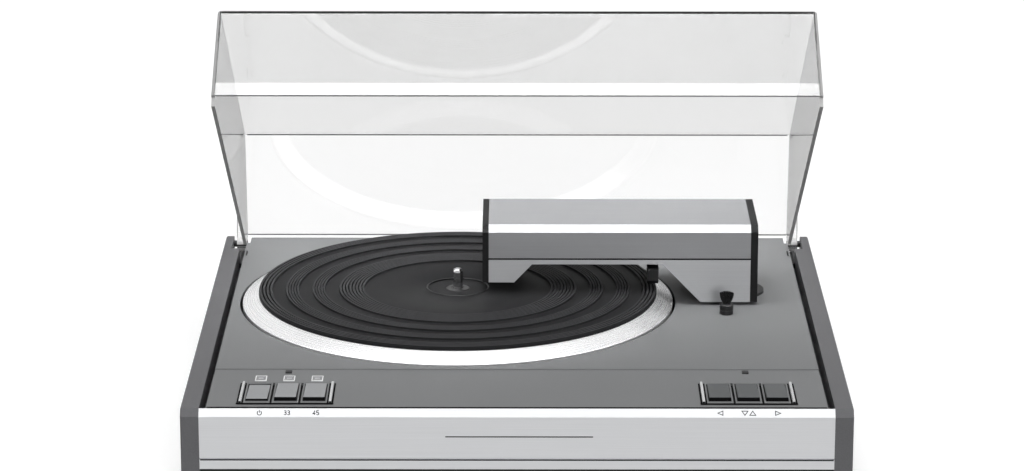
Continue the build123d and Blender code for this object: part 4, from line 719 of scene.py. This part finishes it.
class TURNTABLE_OT_spindle(bpy.types.Operator):
    """Turn the spindle with its rounded nose, its collar and the trim of the mat's recess"""
    bl_idname = "turntable.spindle"
    bl_label = "Spindle"

    def execute(self, context):
        low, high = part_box("spindle")
        radius = 3.6 * MM
        nose = np.radians(np.linspace(0, 90, 12))
        nose_height = 3.4 * MM
        bluntness = 0.6
        tip = np.stack([radius * np.cos(nose) ** bluntness,
                        high.z - nose_height + nose_height * np.sin(nose)], axis=-1)
        tip[-1, 0] = 0
        piece = put_mesh("spindle_turned", turned_surface([(0, low.z), (radius, low.z), *tip], (0, 0, 0), 64),
                         "ground_steel", "platter_body")
        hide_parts("spindle")
        top = above_deck(9)
        shoulder = above_deck(2)
        neck = 5 * MM
        chamfer = 0.4 * MM
        dish = top - 0.3 * MM
        ring = [(radius, low.z), (neck, low.z), (neck, shoulder), (COLLAR, shoulder),
                (COLLAR, top - chamfer), (COLLAR - chamfer, top), (neck + 0.2 * MM, top),
                (neck - 0.2 * MM, dish), (radius, dish)]
        put_mesh("spindle_collar", turned_surface(ring, (0, 0, 0), 64, closed=True),
                 "blackened_steel", "platter_body")
        # Section of the trim in millimetres: how far outside the recess, and the height
        section = [(0, -1.0), (0.9, -1.0), (0.9, -0.35), (0.6, -0.15), (0.3, -0.15), (0, -0.35)]
        trim = [(RECESS + out * MM, height * MM) for out, height in section]
        put_mesh("recess_trim", turned_surface(trim, (0, 0, 0), 128, closed=True),
                 "blackened_steel", "platter_body")
        return {"FINISHED"}


class TURNTABLE_OT_brush(bpy.types.Operator):
    """Make the stylus brush: a ribbed pot and a fan of fine hairs"""
    bl_idname = "turntable.brush"
    bl_label = "Stylus brush"

    def execute(self, context):
        low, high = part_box("brush_holder")
        centre = ((low.x + high.x) / 2, (low.y + high.y) / 2, 0)
        radius = (high.x - low.x) / 2
        stem = 2 * MM
        deck = above_deck(0)
        edge = 0.4 * MM
        groove = 0.35 * MM
        profile = [(0, low.z), (stem, low.z), (stem, deck), (radius - edge, deck), (radius, deck + edge),
                   (radius, deck + 2.6 * MM), (radius - groove, deck + 2.8 * MM),
                   (radius - groove, deck + 3.2 * MM), (radius, deck + 3.4 * MM),
                   (radius, high.z - 1.8 * MM), (radius - groove, high.z - 1.6 * MM),
                   (radius - groove, high.z - 1.3 * MM), (radius, high.z - 1.1 * MM),
                   (radius, high.z - edge), (radius - edge, high.z), (3 * MM, high.z),
                   (2.6 * MM, high.z - edge), (0, high.z - edge)]
        pot = put_mesh("brush_pot", turned_surface(profile, centre, 56), "smooth_black_abs",
                       "chassis")
        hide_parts("brush_holder")
        fan = put_mesh("brush_hairs", self.hairs(context.scene.turntable_sizes), "drawn_black_nylon",
                       "chassis")
        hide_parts("brush_bristles")
        return {"FINISHED"}

    def hairs(self, sizes):
        """Hair k runs from its root q to its tip t along q + (t - q) s, bowed by sin(pi s), tapering in s."""
        low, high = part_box("brush_bristles")
        chance = np.random.default_rng(11)
        count = sizes.hair_count
        u, v = chance.uniform(-1, 1, count), chance.uniform(-1, 1, count)
        middle = np.array([(low.x + high.x) / 2, (low.y + high.y) / 2])
        fill = 0.96
        half = np.array([(high.x - low.x) / 2, (high.y - low.y) / 2]) * fill
        pinch_x, pinch_y, sunk = 2.2 * MM, 1.1 * MM, 0.2 * MM
        root = np.stack([middle[0] + u * pinch_x, middle[1] + v * pinch_y,
                         np.full(count, low.z + sunk)], axis=-1)
        margin, crown, uneven = 0.5 * MM, 1.2 * MM, 0.7 * MM
        top = high.z - margin - crown * u ** 2 - uneven * chance.uniform(0, 1, count)
        tip = np.stack([middle[0] + u * half[0], middle[1] + v * half[1], top], axis=-1)
        s = np.linspace(0, 1, 6)
        arch = np.sin(math.pi * s)
        wander, flare = 0.12 * MM, 0.5 * MM
        bow = chance.normal(0, wander, (count, 2))
        line = root[:, None] + (tip - root)[:, None] * s[None, :, None]
        line[..., :2] += bow[:, None] * arch[None, :, None]
        line[..., 0] += (u * flare)[:, None] * arch[None]
        angle = np.radians([0, 120, 240])
        thick = sizes.hair_radius * (1 - 0.5 * s)
        ring = np.stack([np.cos(angle), np.sin(angle), np.zeros(3)], axis=-1)
        points = line[:, :, None] + thick[None, :, None, None] * ring[None, None]
        first = np.arange(count) * (len(s) * 3)
        row = np.arange(len(s) - 1)[None, :, None] * 3
        side = np.arange(3)[None, None]
        here = first[:, None, None] + row + side
        aside = first[:, None, None] + row + (side + 1) % 3
        quads = np.stack([here, aside, aside + 3, here + 3], axis=-1).reshape(-1, 4).tolist()
        end = first + (len(s) - 1) * 3
        caps = np.concatenate([np.stack([end, end + 1, end + 2], axis=-1),
                               np.stack([first + 2, first + 1, first], axis=-1)])
        return points.reshape(-1, 3), quads + caps.tolist()


# Strokes of the printed signs in a box one unit high, as paths to the right and up
DIGITS = {
    "3": [[(0.05, 0.9), (0.3, 1.0), (0.52, 0.88), (0.5, 0.62), (0.25, 0.52), (0.52, 0.42), (0.56, 0.15),
           (0.3, 0.0), (0.04, 0.1)]],
    "4": [[(0.58, 0.3), (0.0, 0.3), (0.44, 1.0), (0.44, 0.0)]],
    "5": [[(0.54, 1.0), (0.1, 1.0), (0.06, 0.56), (0.32, 0.62), (0.56, 0.45), (0.54, 0.14), (0.3, 0.0),
           (0.04, 0.08)]],
}


def number_paths(text):
    """The strokes of a number, centred on 0, one unit high."""
    pitch, inset = 0.8, 0.1
    paths = []
    for index, digit in enumerate(text):
        shift = (index - len(text) / 2) * pitch + inset
        paths += [[(x + shift, y) for x, y in stroke] for stroke in DIGITS[digit]]
    return paths


def power_paths():
    """The stand-by sign: an open ring with a bar."""
    ring = np.radians(np.linspace(125, 415, 17))
    return [np.stack([0.5 * np.cos(ring), 0.45 + 0.5 * np.sin(ring)], axis=-1).tolist(),
            [(0, 0.5), (0, 1.1)]]


# Place in millimetres from the deck's middle, paths, and whether they close
SIGNS = (
    (-172.3, power_paths(), False),
    (-153.9, number_paths("33"), False),
    (-134.5, number_paths("45"), False),
    (136.3, [[(-0.7, 0.5), (0.5, 0.0), (0.5, 1.0)]], True),
    (155.1, [[(-0.9, 0.0), (-0.2, 1.0), (-1.6, 1.0)], [(0.9, 1.0), (0.2, 0.0), (1.6, 0.0)]], True),
    (174.4, [[(0.7, 0.5), (-0.5, 1.0), (-0.5, 0.0)]], True),
)


class TURNTABLE_OT_signs(bpy.types.Operator):
    """Print the numbers and symbols on the front bevel and the ruled line on the fascia"""
    bl_idname = "turntable.signs"
    bl_label = "Printed signs"

    def execute(self, context):
        sizes = context.scene.turntable_sizes
        low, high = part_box("front_fascia")
        middle, normal = sloping_face("front_fascia")
        slope = np.cross(normal, RIGHT)
        tall = sizes.symbol_height
        sunk = normal * 0.05 * MM
        ink_thickness = 0.12 * MM
        parts = []
        for place, paths, closed in SIGNS:
            origin = middle + RIGHT * (DECK_MIDDLE + place * MM) - slope * tall / 2 - sunk
            for path in paths:
                parts.append(bar_along(np.asarray(path) * tall, sizes.stroke_width, ink_thickness,
                                       (origin, RIGHT, slope), closed))
        put_mesh("bevel_signs", merged(parts), "dark_print_and_shade_line", "chassis", smooth=False)
        line_width, line_height = 0.75 * MM, above_deck(-19)
        origin = np.array([DECK_MIDDLE + 1.5 * MM, low.y + 0.02 * MM, line_height])
        ruled = straight_bar(sizes.line_length / 2, line_width, 0.1 * MM, (origin, RIGHT, UP))
        # A black strip in the fascia's lower groove: painted shade.
        groove_width, groove_height = 0.8 * MM, above_deck(-35.5)
        origin = np.array([DECK_MIDDLE, low.y + 0.1 * MM, groove_height])
        half = (high.x - low.x) / 2 - 0.5 * MM
        under = straight_bar(half, groove_width, 0.15 * MM, (origin, RIGHT, UP))
        put_mesh("fascia_groove_shade", under, "painted_shadow_strips", "chassis", smooth=False)
        put_mesh("fascia_line", ruled, "dark_print_and_shade_line", "chassis", smooth=False)
        return {"FINISHED"}


class TURNTABLE_OT_lamp_frames(bpy.types.Operator):
    """Print a white border and a small mark on each lamp window"""
    bl_idname = "turntable.lamp_frames"
    bl_label = "Lamp windows"

    def execute(self, context):
        low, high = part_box("lamp_windows")
        width = 6.6 * MM
        border_width, border_height = 0.6 * MM, 0.5 * MM
        mark_half, mark_width, mark_height = 1.7 * MM, 2.6 * MM, 0.05 * MM
        middle_y = (low.y + high.y) / 2
        half_y = (high.y - low.y) / 2 + 0.2 * MM
        half_x = width / 2 + 0.3 * MM
        outline = [(-half_x, -half_y), (half_x, -half_y), (half_x, half_y), (-half_x, half_y)]
        borders, marks = [], []
        for x in np.linspace(low.x + width / 2, high.x - width / 2, 3):
            origin = np.array([x, middle_y, above_deck(0)])
            borders.append(bar_along(outline, border_width, border_height, (origin, RIGHT, BACK), True))
            origin = np.array([x, middle_y, high.z - 0.02 * MM])
            marks.append(straight_bar(mark_half, mark_width, mark_height, (origin, RIGHT, BACK)))
        put_mesh("lamp_borders", merged(borders), "white_print", "chassis", smooth=False)
        put_mesh("lamp_marks", merged(marks), "grey_print", "chassis", smooth=False)
        return {"FINISHED"}


class TURNTABLE_OT_seams(bpy.types.Operator):
    """Lay black strips as painted shadow lines along the deck's front edge, round the key groups and on the
    bridge
    """
    bl_idname = "turntable.seams"
    bl_label = "Dark seams"

    def execute(self, context):
        proud = 0.08 * MM
        edge = 1.2 * MM
        across_width, along_width = 2.8 * MM, 1.1 * MM
        origin = np.array([DECK_MIDDLE, DECK_FRONT + edge, above_deck(0)])
        bars = [straight_bar((deck_high.x - deck_low.x) / 2 - 0.5 * MM, 2 * edge, proud,
                             (origin, RIGHT, BACK))]
        for name in ("left_key_frame", "right_key_frame"):
            low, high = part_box(name)
            plane = (UP * high.z, RIGHT, BACK)
            front, back = low.y + 1.5 * MM, high.y - 4 * MM
            bars.append(bar_along([(low.x + 0.4 * MM, front), (high.x - 0.4 * MM, front)],
                                  across_width, proud, plane))
            for inset in (1.2 * MM, 4.5 * MM):
                for x in (low.x + inset, high.x - inset):
                    bars.append(bar_along([(x, front + across_width / 2), (x, back)],
                                          along_width, proud, plane))
        put_mesh("painted_shadow_seams", merged(bars), "painted_shadow_strips", "chassis", smooth=False)
        # A black strip on the bridge's front where the cover meets the panel: a painted shadow line.
        low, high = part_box("bridge_cover")
        panel_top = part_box("bridge_front_panel")[1].z
        origin = np.array([0, low.y + 0.02 * MM, (low.z + panel_top) / 2])
        overlap = 0.3 * MM
        bridge_shadow_strip = bar_along([(low.x, 0), (high.x, 0)], low.z - panel_top + overlap, 0.07 * MM,
                         (origin, RIGHT, UP))
        put_mesh("bridge_shadow_line", bridge_shadow_strip, "painted_shadow_strips", "bridge_body", smooth=False)
        return {"FINISHED"}


class TURNTABLE_OT_bend_line(bpy.types.Operator):
    """Lay a dark strip along the cover's rear bend, as a painted shadow line of its inner corner"""
    bl_idname = "turntable.bend_line"
    bl_label = "Cover bend line"

    def execute(self, context):
        top, rear = [d for d in panel_directions("dust_cover", 4) if abs(d[0]) < 0.5][:2]
        wall = 2.6 * MM
        # The line lies where the inner planes of the top panel and the rear panel meet
        planes = np.array([top[1:], rear[1:]])
        reach = np.array([farthest("dust_cover", direction) - wall for direction in (top, rear)])
        origin = np.array([DECK_MIDDLE, *np.linalg.solve(planes, reach)])
        half = (deck_high.x - deck_low.x) / 2 - 1.5 * MM
        width, height = 0.8 * MM, 0.4 * MM
        line = straight_bar(half, width, height, (origin, RIGHT, UP))
        put_mesh("cover_bend_shadow_line", line, "dark_print_and_shade_line", "cover_body", smooth=False)
        return {"FINISHED"}


class TURNTABLE_OT_feet(bpy.types.Operator):
    """Mould the ribbed feet and their rubber pads"""
    bl_idname = "turntable.feet"
    bl_label = "Feet"

    def execute(self, context):
        low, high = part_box("feet")
        pad_low, pad_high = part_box("foot_pads")
        radius, pad = 20 * MM, 18 * MM
        xs, ys = (low.x + radius, high.x - radius), (low.y + radius, high.y - radius)
        tall = high.z - low.z
        foot = [(0, low.z), (radius - 2.2 * MM, low.z), (radius - 1.6 * MM, low.z + 0.5 * MM),
                (radius - 0.9 * MM, low.z + 0.45 * tall), (radius - 1.5 * MM, low.z + 0.5 * tall),
                (radius - 1.5 * MM, low.z + 0.6 * tall), (radius - 0.6 * MM, low.z + 0.65 * tall),
                (radius, high.z - 0.4 * MM), (radius, high.z), (0, high.z)]
        sunk = pad_low.z + 0.8 * MM
        rings = [(0, sunk), (pad * 0.3, sunk), (pad * 0.34, pad_low.z), (pad * 0.55, pad_low.z),
                 (pad * 0.59, sunk), (pad * 0.7, sunk), (pad * 0.74, pad_low.z),
                 (pad - 0.6 * MM, pad_low.z), (pad, pad_low.z + 0.6 * MM), (pad, pad_high.z),
                 (0, pad_high.z)]
        feet = merged([turned_surface(foot, (x, y, 0), 64) for x in xs for y in ys])
        pads = merged([turned_surface(rings, (x, y, 0), 64) for x in xs for y in ys])
        piece = put_mesh("feet_moulded", feet, "smooth_black_abs", "chassis")
        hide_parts("feet")
        piece = put_mesh("pads_moulded", pads, "moulded_rubber", "chassis")
        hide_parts("foot_pads")
        return {"FINISHED"}


class TURNTABLE_OT_screws(bpy.types.Operator):
    """Set the domed screws of the base and the rear panel"""
    bl_idname = "turntable.screws"
    bl_label = "Screws"

    def execute(self, context):
        radius = context.scene.turntable_sizes.screw_radius
        base_low, base_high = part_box("base_pan")
        rear_low, rear_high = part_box("rear_panel")
        inset = 12 * MM
        rear_inset = 7 * MM
        # A screw head's profile in shares of its radius and of its height, which is half the radius
        head = [(0.0, 0.9), (0.35, 0.85), (0.45, 0.3), (0.8, 0.85), (0.95, 0.55), (1.0, 0.15), (1.0, -0.3)]
        down = [(r * radius, -h * radius * 0.5) for r, h in head]
        heads = [turned_surface(down, (x, y, base_low.z), 24)
                 for x in np.linspace(base_low.x + inset, base_high.x - inset, 3)
                 for y in (base_low.y + inset, base_high.y - inset)]
        out = turned_surface([(r * radius, h * radius * 0.5) for r, h in head][::-1], (0, 0, 0), 24)
        heads += [laid_back(out, (x, rear_high.y, z))
                  for x in np.linspace(rear_low.x + inset, rear_high.x - inset, 4)
                  for z in (rear_low.z + rear_inset, rear_high.z - rear_inset)]
        put_mesh("case_screws", merged(heads), "ground_steel", "chassis")
        return {"FINISHED"}


class TURNTABLE_OT_collars(bpy.types.Operator):
    """Fit the coloured collars of the signal sockets"""
    bl_idname = "turntable.collars"
    bl_label = "Socket collars"

    def execute(self, context):
        low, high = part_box("phono_sockets")
        plate = high.y - 9 * MM
        # A collar's section in millimetres: radius and height above the plate
        section = [(4.2, 0), (7.2, 0), (7.2, 1.6), (6.6, 2.2), (5.4, 2.2), (4.2, 1.4)]
        ring = turned_surface([(r * MM, h * MM) for r, h in section], (0, 0, 0), 48, closed=True)
        for name, shift, finish in (("left_collar", 5 * MM, "white_nylon_collar"),
                                    ("right_collar", 25 * MM, "red_nylon_collar")):
            centre = ((low.x + high.x) / 2 + shift, plate, (low.z + high.z) / 2)
            put_mesh(name, laid_back(ring, centre), finish, "chassis")
        return {"FINISHED"}


class TURNTABLE_OT_stage(bpy.types.Operator):
    """Lay the floor, set the lamps and place the camera"""
    bl_idname = "turntable.stage"
    bl_label = "Stage"

    def execute(self, context):
        scene = context.scene
        self.floor(scene)
        self.world(scene)
        self.sun(scene, "top_sun", (-0.05, -0.1, 1.0), 1.6, 34.0)
        self.sun(scene, "front_sun", (0.25, -1.0, 0.22), 1.85, 22.0)
        self.camera(scene)
        scene.view_settings.view_transform = "Standard"
        return {"FINISHED"}

    def rays(self, tree, *kinds):
        """1 for rays of any of these kinds, else 0, and the node that tells the kinds."""
        path = add_node(tree, "ShaderNodeLightPath")
        seen = (path, kinds[0])
        for kind in kinds[1:]:
            seen = (add_node(tree, "ShaderNodeMath", {"operation": "MAXIMUM"}, {
                0: seen, 1: (path, kind)}), 0)
        return seen, path

    def floor(self, scene):
        """A large pale sheet, whose lit parts are white to the camera and keep the shadow.

        It glows for rays of the camera and through clear plastic that no surface has mirrored.
        """
        half, cells, glow_strength = 9.0, 6, 0.54
        x, y = np.meshgrid(*[np.linspace(-half, half, cells + 1)] * 2, indexing="ij")
        points = np.stack([x, y, np.full_like(x, CAD_BOX[0][2])], axis=-1).reshape(-1, 3)
        row = np.arange(cells)[:, None] * (cells + 1) + np.arange(cells)
        faces = np.stack([row, row + cells + 1, row + cells + 2, row + 1], axis=-1).reshape(-1, 4)
        mesh = bpy.data.meshes.new("floor")
        mesh.from_pydata(points.tolist(), [], faces.tolist())
        floor = bpy.data.objects.new("floor", mesh)
        scene.collection.objects.link(floor)
        tree, shader = start_finish("pale_studio_paper", Roughness=0.9)[:2]
        seen, path = self.rays(tree, "Is Camera Ray", "Is Transmission Ray")
        straight = add_node(tree, "ShaderNodeMath", {"operation": "LESS_THAN"}, {
            0: (path, "Glossy Depth"), 1: 0.5})
        both = add_node(tree, "ShaderNodeMath", {"operation": "MULTIPLY"}, {0: seen, 1: (straight, 0)})
        glow = add_node(tree, "ShaderNodeMath", {"operation": "MULTIPLY"}, {
            0: (both, 0), 1: glow_strength})
        feed(tree, shader, {"Base Color": linear("c0c0c0"), "Emission Color": linear("ffffff"),
                            "Emission Strength": (glow, 0)})
        mesh.materials.append(finishes["pale_studio_paper"])

    def world(self, scene):
        """Soft light from above, white where it is seen directly, and a bright strip overhead in gloss."""
        scene.world = bpy.data.worlds.new("studio")
        scene.world.use_nodes = True
        tree = scene.world.node_tree
        tree.nodes.clear()
        place = add_node(tree, "ShaderNodeTexCoord")
        spread = add_node(tree, "ShaderNodeSeparateXYZ", inputs={"Vector": (place, "Generated")})
        lean = add_node(tree, "ShaderNodeMath", {"operation": "DIVIDE"}, {0: (spread, "Y"), 1: (spread, "Z")})
        strip = 1.0
        # The strip's rear and front edges, as rearward reach for each unit of height, and its lowest Z
        for operation, value, bound in (("LESS_THAN", (lean, 0), 0.114), ("GREATER_THAN", (lean, 0), -0.68),
                                        ("GREATER_THAN", (spread, "Z"), 0.2)):
            side = add_node(tree, "ShaderNodeMath", {"operation": operation}, {0: value, 1: bound})
            strip = (add_node(tree, "ShaderNodeMath", {"operation": "MULTIPLY"}, {
                0: strip, 1: (side, 0)}), 0)
        shine = add_node(tree, "ShaderNodeMapRange", inputs={"Value": strip, "To Min": 0.78, "To Max": 5.5})
        seen, path = self.rays(tree, "Is Camera Ray", "Is Glossy Ray", "Is Transmission Ray")
        level = add_node(tree, "ShaderNodeMix", {"data_type": "FLOAT"}, {
            0: (path, "Is Glossy Ray"), 2: 1.0, 3: (shine, "Result")})
        soft = add_node(tree, "ShaderNodeBackground", inputs={
            "Color": linear("ffffff"), "Strength": risen(tree, (place, "Generated"), 0.0, 1.0, 0.05, 0.4)})
        white = add_node(tree, "ShaderNodeBackground", inputs={
            "Color": linear("ffffff"), "Strength": (level, 0)})
        mixed = add_node(tree, "ShaderNodeMixShader", inputs={
            0: seen, 1: (soft, "Background"), 2: (white, "Background")})
        add_node(tree, "ShaderNodeOutputWorld", inputs={"Surface": (mixed, "Shader")})

    def sun(self, scene, name, towards, strength, width):
        """A soft sun, which lights the floor evenly, standing in that direction; its width in degrees."""
        light = bpy.data.lights.new(name, "SUN")
        light.energy = strength
        light.angle = math.radians(width)
        lamp = bpy.data.objects.new(name, light)
        lamp.rotation_euler = Vector(towards).to_track_quat("Z", "Y").to_euler()
        lamp.visible_glossy = False
        scene.collection.objects.link(lamp)

    def camera(self, scene):
        """The photograph's viewpoint, from above the front."""
        lens = bpy.data.cameras.new("camera")
        lens.lens = 131.0
        lens.sensor_width = 36.0
        lens.shift_x = -0.00504
        lens.clip_end = 60.0
        camera = bpy.data.objects.new("camera", lens)
        pitch = Matrix.Rotation(math.radians(73.953), 4, "X")
        roll = Matrix.Rotation(math.radians(0.061), 4, "Z")
        camera.matrix_world = Matrix.Translation((0.0434, -2.613, 0.7903)) @ pitch @ roll
        scene.collection.objects.link(camera)
        scene.camera = camera


class TURNTABLE_PT_sidebar(bpy.types.Panel):
    """Lists the turntable's settings and pieces"""
    bl_label = "Turntable"
    bl_idname = "TURNTABLE_PT_sidebar"
    bl_space_type = "VIEW_3D"
    bl_region_type = "UI"
    bl_category = "Turntable"

    def draw(self, context):
        layout = self.layout
        for group in (context.scene.turntable_sizes, context.scene.turntable_colours):
            for name in type(group).__annotations__:
                layout.prop(group, name)
        for operator in OPERATORS:
            layout.operator(operator.bl_idname)


OPERATORS = (
    TURNTABLE_OT_finishes, TURNTABLE_OT_platter, TURNTABLE_OT_mat, TURNTABLE_OT_spindle,
    TURNTABLE_OT_brush, TURNTABLE_OT_signs, TURNTABLE_OT_lamp_frames, TURNTABLE_OT_seams,
    TURNTABLE_OT_bend_line, TURNTABLE_OT_feet, TURNTABLE_OT_screws, TURNTABLE_OT_collars,
    TURNTABLE_OT_stage,
)
CLASSES = (TurntableSizes, TurntableColours, *OPERATORS, TURNTABLE_PT_sidebar)


def register():
    for item in CLASSES:
        bpy.utils.register_class(item)
    bpy.types.Scene.turntable_sizes = bpy.props.PointerProperty(type=TurntableSizes)
    bpy.types.Scene.turntable_colours = bpy.props.PointerProperty(type=TurntableColours)


def unregister():
    del bpy.types.Scene.turntable_colours
    del bpy.types.Scene.turntable_sizes
    for item in reversed(CLASSES):
        bpy.utils.unregister_class(item)


def main():
    register()
    for operator in OPERATORS:
        group, name = operator.bl_idname.split(".")
        getattr(getattr(bpy.ops, group), name)()


if __name__ == "__main__":
    main()
